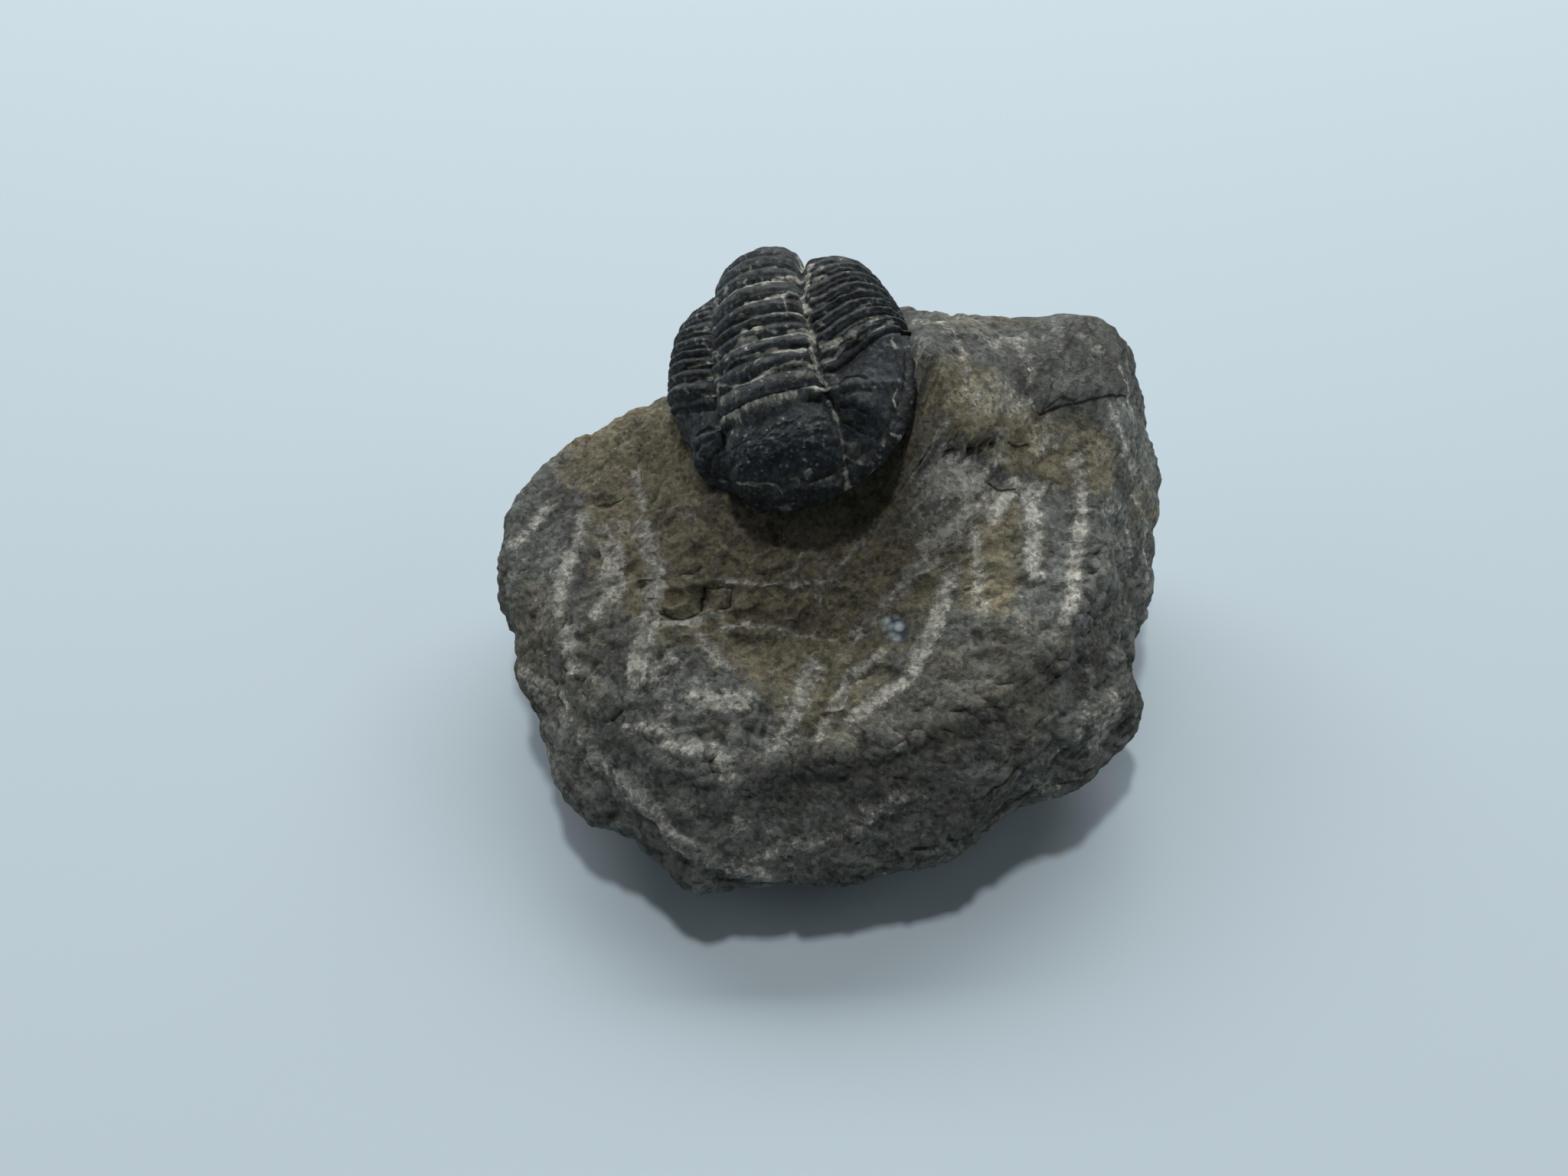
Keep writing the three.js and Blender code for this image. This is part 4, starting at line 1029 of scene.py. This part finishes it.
class Sheet:
    """A short way to add and link nodes in one tree."""

    def __init__(self, tree):
        self.tree = tree

    def add(self, kind, **settings):
        node = self.tree.nodes.new("ShaderNode" + kind)
        for key, value in settings.items():
            setattr(node, key, value)
        return node

    def wire(self, value, socket):
        if isinstance(value, bpy.types.NodeSocket):
            self.tree.links.new(value, socket)
        else:
            socket.default_value = value

    def math(self, operation, a, b=0.0):
        node = self.add("Math", operation=operation)
        self.wire(a, node.inputs[0])
        self.wire(b, node.inputs[1])
        return node.outputs[0]

    def plus(self, a, b):
        return self.math("ADD", a, b)

    def times(self, a, b):
        return self.math("MULTIPLY", a, b)

    def scaled(self, vector, factor):
        node = self.add("VectorMath", operation="SCALE")
        self.wire(vector, node.inputs[0])
        self.wire(factor, node.inputs["Scale"])
        return node.outputs[0]

    def mix(self, share, a, b):
        node = self.add("Mix", data_type="RGBA")
        self.wire(share, node.inputs[0])
        self.wire(a, node.inputs[6])
        self.wire(b, node.inputs[7])
        return node.outputs[2]

    def coats(self, body, *coats):
        """Colours laid over a body one after another, each with its share."""
        for share, shade in coats:
            body = self.mix(share, body, colour(*shade))
        return body

    def split(self, value):
        node = self.add("SeparateColor")
        self.wire(value, node.inputs[0])
        return node.outputs

    def ramp(self, value, low, high, to_low=0.0, to_high=1.0):
        node = self.add("MapRange", clamp=True)
        for socket, given in zip(node.inputs, (value, low, high, to_low, to_high)):
            self.wire(given, socket)
        return node.outputs[0]

    def mask(self, name):
        return self.add("Attribute", attribute_name=name).outputs["Fac"]

    def noise(self, where, scale, detail, roughness=0.6):
        node = self.add("TexNoise")
        given = {"Vector": where, "Scale": scale, "Detail": detail, "Roughness": roughness}
        for name, value in given.items():
            self.wire(value, node.inputs[name])
        return node.outputs["Fac"]

    def cells(self, where, scale):
        node = self.add("TexVoronoi")
        self.wire(where, node.inputs["Vector"])
        self.wire(scale, node.inputs["Scale"])
        return node.outputs

    def mottled(self, where, scale, detail, roughness, pair):
        """Two colours mixed softly."""
        share = self.ramp(self.noise(where, scale, detail, roughness), 0.35, 0.65)
        return self.mix(share, colour(*pair[0]), colour(*pair[1]))

    def patches(self, where, scale, roughness, low, high, top):
        """Ragged patches where noise is past two levels."""
        return self.ramp(self.noise(where, scale, 8.0, roughness), low, high, 0.0, top)

    def uneven(self, mask, where, scale, spread, low, high, top=1.0):
        """A mask with its edge broken up by noise."""
        wave = self.math("SUBTRACT", self.noise(where, scale, 6.0, 0.7), 0.5)
        return self.ramp(self.plus(mask, self.times(wave, spread)), low, high, 0.0, top)

    def grit(self, group, *given):
        """The mineral grain on a body colour: its colour and its height."""
        node = self.tree.nodes.new("ShaderNodeGroup")
        node.node_tree = group
        for socket, value in zip(node.inputs, given):
            self.wire(value, socket)
        return node.outputs[0], node.outputs[1]

    def surface(self, shader, base, roughness, specular, height, strength, distance):
        """A shader's colour, roughness, shine and bump."""
        bump = self.add("Bump")
        bump.inputs["Strength"].default_value = strength
        bump.inputs["Distance"].default_value = distance
        self.wire(height, bump.inputs["Height"])
        self.wire(bump.outputs[0], shader.inputs["Normal"])
        self.wire(base, shader.inputs["Base Color"])
        self.wire(roughness, shader.inputs["Roughness"])
        shader.inputs["Specular IOR Level"].default_value = specular


def grit_group():
    """Mineral grain: a colour varied by grains and pale specks, and its height."""
    group = bpy.data.node_groups.new("MineralGrain", "ShaderNodeTree")
    face = group.interface
    face.new_socket("Vector", in_out="INPUT", socket_type="NodeSocketVector")
    face.new_socket("Colour", in_out="INPUT", socket_type="NodeSocketColor")
    for name, value in (("Grain Size", 2500.0), ("Variation", 0.35), ("Specks", 0.2)):
        face.new_socket(name, in_out="INPUT", socket_type="NodeSocketFloat").default_value = value
    face.new_socket("Colour", in_out="OUTPUT", socket_type="NodeSocketColor")
    face.new_socket("Height", in_out="OUTPUT", socket_type="NodeSocketFloat")
    sheet = Sheet(group)
    out = group.nodes.new("NodeGroupOutput")
    where, base, size, variation, specks = group.nodes.new("NodeGroupInput").outputs[:5]
    fine = sheet.noise(where, size, 5.0, 0.7)
    grain = sheet.split(sheet.cells(where, size)["Color"])
    soft = sheet.ramp(fine, 0.3, 0.7, -0.5, 0.5)
    shade = sheet.plus(soft, sheet.ramp(grain[0], 0.0, 1.0, -0.7, 0.7))
    varied = sheet.scaled(base, sheet.plus(1.0, sheet.times(shade, variation)))
    dot = sheet.ramp(sheet.cells(where, sheet.times(size, 0.7))["Distance"], 0.12, 0.22, 1.0, 0.0)
    chosen = sheet.ramp(sheet.noise(where, 900.0, 2.0), 0.52, 0.62)
    speck = sheet.times(sheet.times(dot, chosen), specks)
    sheet.wire(sheet.mix(speck, varied, colour(*PALE_SPECKS)), out.inputs[0])
    sheet.wire(sheet.plus(fine, sheet.times(grain[1], 0.6)), out.inputs[1])
    return group


def limestone(group):
    material, shader = new_material("RoughLimestone")
    sheet = Sheet(material.node_tree)
    where = sheet.add("TexCoord").outputs["Object"]
    grey = sheet.mottled(where, 260.0, 6.0, 0.65, GREY_GROUND)
    tint = sheet.mottled(where, 420.0, 6.0, 0.65, OCHRE_GROUND)
    chalk = sheet.mask("chalk")
    proud = sheet.mask("proud")
    body = sheet.coats(
        sheet.mix(sheet.uneven(sheet.mask("ochre"), where, 330.0, 0.9, 0.2, 0.8), grey, tint),
        (sheet.uneven(chalk, where, 1500.0, 1.2, 0.2, 0.7, 0.6), CHALK_FILM),
        (sheet.uneven(chalk, where, 2800.0, 1.9, 0.45, 0.62, 0.75), CHALK_GRAINS),
        (sheet.uneven(proud, where, 2300.0, 1.5, 0.66, 1.15, 0.42), RUBBED_EDGES),
        (sheet.uneven(proud, where, 2600.0, 1.6, 0.28, -0.02, 0.75), PITS),
        (sheet.patches(where, 420.0, 0.7, 0.53, 0.61, 0.42), DARK_PATCHES),
        (sheet.patches(where, 610.0, 0.75, 0.56, 0.64, 0.25), FAIR_PATCHES),
    )
    # Painted light and shade: the shade mask makes the colour lighter or darker.
    body = sheet.scaled(body, sheet.ramp(sheet.mask("shade"), 0.0, 1.0, 0.5, 1.85))
    split = sheet.ramp(sheet.math("ABSOLUTE", sheet.mask("crack_side")), 0.05, 0.16, 0.9, 0.0)
    split = sheet.times(split, sheet.mask("crack_near"))
    body = sheet.coats(body, (sheet.math("MAXIMUM", split, sheet.mask("crack")), CRACK_SHADOW))
    base, height = sheet.grit(group, where, body, 3300.0, 0.55, 0.6)
    fleck = sheet.mask("fleck")
    facet = sheet.ramp(sheet.cells(where, 1300.0)["Distance"], 0.2, 0.6)
    base = sheet.mix(fleck, base, sheet.mix(facet, colour(*CRYSTAL[0]), colour(*CRYSTAL[1])))
    roughness = sheet.ramp(fleck, 0.2, 0.8, 0.92, 0.25)
    height = sheet.plus(sheet.noise(where, 1900.0, 8.0, 0.75), sheet.times(height, 0.35))
    sheet.surface(shader, base, roughness, 0.3, height, 1.0, 0.00024)


def black_calcite(group):
    material, shader = new_material("BlackCalcite")
    sheet = Sheet(material.node_tree)
    where = sheet.add("TexCoord").outputs["Object"]
    head = sheet.mask("glabella")
    shell = sheet.mottled(where, 350.0, 6.0, 0.6, SHELL)
    dome = sheet.mottled(where, 900.0, 5.0, 0.6, DOME)
    granules = sheet.cells(where, 2500.0)
    chance = sheet.split(granules["Color"])
    chosen = sheet.ramp(sheet.plus(chance[0], sheet.times(head, 0.2)), 0.8, 0.86)
    spot = sheet.ramp(granules["Distance"], 0.2, 0.38, 1.0, 0.0)
    strength = sheet.times(chosen, sheet.ramp(chance[1], 0.0, 1.0, 0.25, 1.0))
    fill = sheet.mask("fill")
    body = sheet.coats(
        sheet.mix(head, shell, dome),
        # Painted shade: the band along the head's rim made darker.
        (sheet.times(sheet.mask("border"), 0.8), PAINTED_BORDER_SHADE),
        (sheet.patches(where, 1900.0, 0.8, 0.51, 0.58, 0.65), SHELL_BLOOM),
        (sheet.patches(where, 900.0, 0.75, 0.52, 0.6, 0.55), SHELL_STAIN),
        (sheet.times(spot, strength), SHELL_SPOTS),
        (sheet.uneven(fill, where, 1500.0, 0.7, 0.12, 0.5, 0.8), ROCK_FILM),
    )
    pale = sheet.uneven(fill, where, 1500.0, 0.8, 0.38, 0.72, 0.95)
    body = sheet.mix(pale, body, sheet.mottled(where, 1300.0, 5.0, 0.6, FURROW_GROUND))
    specks = sheet.ramp(head, 0.0, 1.0, 0.25, 0.75)
    base, height = sheet.grit(group, where, body, 3200.0, 0.7, specks)
    roughness = sheet.ramp(pale, 0.0, 1.0, 0.58, 0.9)
    height = sheet.plus(sheet.noise(where, 1700.0, 6.0, 0.7), sheet.times(height, 0.3))
    sheet.surface(shader, base, roughness, 0.28, height, 0.7, 0.00016)


class FossilSettings(bpy.types.PropertyGroup):
    rows_along: bpy.props.IntProperty(
        name="Rows along the back", description="Rows of faces from snout to tail", default=384, min=60
    )
    rows_across: bpy.props.IntProperty(
        name="Rows across the back", description="Rows of faces from side to side", default=252, min=40
    )


class StoneSettings(bpy.types.PropertyGroup):
    cuts: bpy.props.IntProperty(
        name="Cuts", description="Cuts along each edge of the starting block", default=127, min=20
    )
    lumps: bpy.props.FloatProperty(
        name="Lumps", description="Height of the broad lumps in millimetres", default=0.75, min=0
    )


class StageSettings(bpy.types.PropertyGroup):
    table: bpy.props.FloatVectorProperty(
        name="Table", description="Colour of the table", subtype="COLOR", default=colour(*TABLE_COLOUR)[:3]
    )
    distance: bpy.props.FloatProperty(
        name="Distance", description="Distance of the camera", default=0.085, unit="LENGTH"
    )
    elevation: bpy.props.FloatProperty(
        name="Elevation",
        description="Height of the camera above the horizon",
        default=math.radians(58),
        unit="ROTATION",
    )
    lens: bpy.props.FloatProperty(name="Lens", description="Focal length in millimetres", default=29.09)
    key_power: bpy.props.FloatProperty(
        name="Key light", description="Power of the small lamp overhead", subtype="POWER", default=1.13
    )
    wide_power: bpy.props.FloatProperty(
        name="Wide light", description="Power of the wide soft lamp", subtype="POWER", default=7.6
    )
    side_power: bpy.props.FloatProperty(
        name="Side light",
        description="Power of the light thrown back by the walls",
        subtype="POWER",
        default=0.8,
    )
    room_light: bpy.props.FloatProperty(
        name="Room light", description="Strength of the light from all round", default=0.06
    )


# What the camera looks at, in millimetres, and its sensor in millimetres and near limit in metres.
AIM = np.array([-2.8, 0.9, 11.0]) + STONE_SHIFT
SENSOR_WIDTH = 36
NEAR_LIMIT = 0.005

# The table and the light from all round.
TABLE_SIZE = 3
TABLE_ROUGHNESS = 0.7
SKY = (0.86, 0.94, 1.0, 1)

# Soft lamps: place and size in metres, and the power setting that each takes, with its share of it.
LAMPS = [
    ("Key", (-0.03, 0.2, 0.6), (0.06, 0.06), "key_power", 1.0),
    ("Window", (0.0, 0.66, 0.5), (1.5, 0.28), "wide_power", 1.0),
    ("RightWall", (0.85, 0.15, 0.42), (0.5, 0.5), "side_power", 1.0),
    ("LeftWall", (-0.85, 0.15, 0.42), (0.5, 0.5), "side_power", 0.8),
]

# Rows of faces across the flat underside of the shell, and its masks: rock all over.
UNDER_ROWS = 8
UNDERSIDE = {"fill": 1, "border": 0, "glabella": 0}


class FOSSIL_OT_stone(bpy.types.Operator):
    """Shape the loose piece of limestone"""

    bl_idname = "fossil.stone"
    bl_label = "Limestone matrix"

    def execute(self, context):
        settings = context.scene.stone_settings
        deselect()
        bpy.ops.mesh.primitive_cube_add(size=2)
        piece = context.object
        piece.name = "limestone_matrix"
        edit_all((bpy.ops.mesh.subdivide, {"number_cuts": settings.cuts}))
        mesh = piece.data
        directions = stone_directions(get_points(mesh))
        p = stone_points(directions)
        lumps = noise(p / LUMP_SIZE, 1) * settings.lumps
        lumps = lumps + SMALL_LUMP_HEIGHT * noise(p / SMALL_LUMP_SIZE, 2)
        p = p + directions * lumps[:, None]
        set_points(mesh, p)
        rough, masks = break_stone(p)
        p = p + get_normals(mesh) * rough[:, None]
        p[:, 2] = np.maximum(p[:, 2], 0)
        p = p + STONE_SHIFT
        set_points(mesh, p * MM)
        n = get_normals(mesh)
        brown = paint(p, n, BROWN, 0.45, 0.35)
        form, hollow = carve_stone(p, n)
        p = p + n * form[:, None]
        p[:, 2] = np.maximum(p[:, 2], 0)
        masks.update(stone_masks(p, n, hollow))
        masks["ochre"] = np.maximum(brown, 0.45 * smoothstep(layered(p / 7, 3, 22), 0.1, 0.9))
        for name, values in masks.items():
            set_mask(mesh, name, values)
        set_mask(mesh, "crack_side", crack_side(p, n), -1)
        set_points(mesh, p * MM)
        finish_piece(piece, "RoughLimestone", "matrix")
        return {"FINISHED"}


class FOSSIL_OT_trilobite(bpy.types.Operator):
    """Shape the rolled-up trilobite"""

    bl_idname = "fossil.trilobite"
    bl_label = "Trilobite"

    def execute(self, context):
        settings = context.scene.fossil_settings
        across = settings.rows_across
        deselect()
        bpy.ops.mesh.primitive_grid_add(x_subdivisions=across, y_subdivisions=settings.rows_along, size=2)
        piece = context.object
        piece.name = "trilobite_shell"
        mesh = piece.data
        flat = get_points(mesh)
        u = (flat[:, 0] + 1) / 2 * across
        s = (flat[:, 1] + 1) / 2 * BODY_LENGTH
        back_rows = across - UNDER_ROWS
        on_back = u <= back_rows + 1e-4
        q = np.clip(2 * u / back_rows - 1, -1, 1)
        form = form_point(s, q)
        normal, rim = back_normals(s, q)
        height, masks = relief(Back(s, from_side_edge(form), form))
        rise = np.where(rim, 0, lift(s, form[:, 0]) + height)
        beneath = underside(s, (u - back_rows) / UNDER_ROWS)
        p = np.where(on_back[:, None], form + normal * rise[:, None], beneath)
        for name, values in masks.items():
            set_mask(mesh, name, np.where(on_back, values, UNDERSIDE[name]))
        set_points(mesh, place_trilobite(p))
        edit_all(
            (bpy.ops.mesh.remove_doubles, {"threshold": 1e-6}),
            (bpy.ops.mesh.normals_make_consistent, {"inside": False}),
        )
        finish_piece(piece, "BlackCalcite", "trilobite")
        return {"FINISHED"}


class FOSSIL_OT_stage(bpy.types.Operator):
    """Set up the pale table, the soft lights and the camera"""

    bl_idname = "fossil.stage"
    bl_label = "Table, lights and camera"

    def execute(self, context):
        settings = context.scene.stage_settings
        deselect()
        bpy.ops.mesh.primitive_plane_add(size=TABLE_SIZE)
        floor = context.object
        floor.name = "table_top"
        material, shader = new_material("PaleTable")
        shader.inputs["Base Color"].default_value = (*settings.table, 1)
        shader.inputs["Roughness"].default_value = TABLE_ROUGHNESS
        floor.data.materials.append(material)
        e = settings.elevation
        back = Vector((0, -math.cos(e), math.sin(e)))
        bpy.ops.object.camera_add(location=Vector(AIM) * MM + back * settings.distance)
        camera = context.object
        camera.rotation_euler = (-back).to_track_quat("-Z", "Y").to_euler()
        camera.data.sensor_width = SENSOR_WIDTH
        camera.data.lens = settings.lens
        camera.data.clip_start = NEAR_LIMIT
        context.scene.camera = camera
        world = bpy.data.worlds.new("SoftRoom")
        world.use_nodes = True
        background = world.node_tree.nodes["Background"]
        background.inputs[0].default_value = SKY
        background.inputs[1].default_value = settings.room_light
        context.scene.world = world
        context.scene.view_settings.view_transform = "Standard"
        for name, place, size, power, share in LAMPS:
            self.lamp(name, place, size, share * getattr(settings, power))
        return {"FINISHED"}

    def lamp(self, name, place, size, power):
        bpy.ops.object.light_add(type="AREA", location=place)
        lamp = bpy.context.object
        lamp.name = name
        lamp.rotation_euler = Vector(place).to_track_quat("Z", "Y").to_euler()
        lamp.data.shape = "RECTANGLE"
        lamp.data.size, lamp.data.size_y = size
        lamp.data.energy = power


class FOSSIL_OT_materials(bpy.types.Operator):
    """Make the limestone and calcite materials"""

    bl_idname = "fossil.materials"
    bl_label = "Materials"

    def execute(self, context):
        group = grit_group()
        limestone(group)
        black_calcite(group)
        return {"FINISHED"}


class FOSSIL_PT_panel(bpy.types.Panel):
    """Shows the buttons that build the fossil and the settings of each."""

    bl_label = "Fossil"
    bl_idname = "FOSSIL_PT_panel"
    bl_space_type = "VIEW_3D"
    bl_region_type = "UI"
    bl_category = "Fossil"

    def draw(self, context):
        for operator in OPERATORS:
            self.layout.operator(operator.bl_idname)
        for name in SETTINGS:
            box = self.layout.box()
            group = getattr(context.scene, name)
            for key in group.bl_rna.properties.keys():
                if key not in ("rna_type", "name"):
                    box.prop(group, key)


OPERATORS = (FOSSIL_OT_materials, FOSSIL_OT_stone, FOSSIL_OT_trilobite, FOSSIL_OT_stage)
SETTINGS = {
    "fossil_settings": FossilSettings,
    "stone_settings": StoneSettings,
    "stage_settings": StageSettings,
}


def register():
    for cls in (*SETTINGS.values(), *OPERATORS, FOSSIL_PT_panel):
        bpy.utils.register_class(cls)
    for name, cls in SETTINGS.items():
        setattr(bpy.types.Scene, name, bpy.props.PointerProperty(type=cls))


def unregister():
    for name in SETTINGS:
        delattr(bpy.types.Scene, name)
    for cls in reversed((*SETTINGS.values(), *OPERATORS, FOSSIL_PT_panel)):
        bpy.utils.unregister_class(cls)


def main():
    register()
    bpy.ops.fossil.materials()
    bpy.ops.fossil.stone()
    bpy.ops.fossil.trilobite()
    bpy.ops.fossil.stage()


if __name__ == "__main__":
    main()
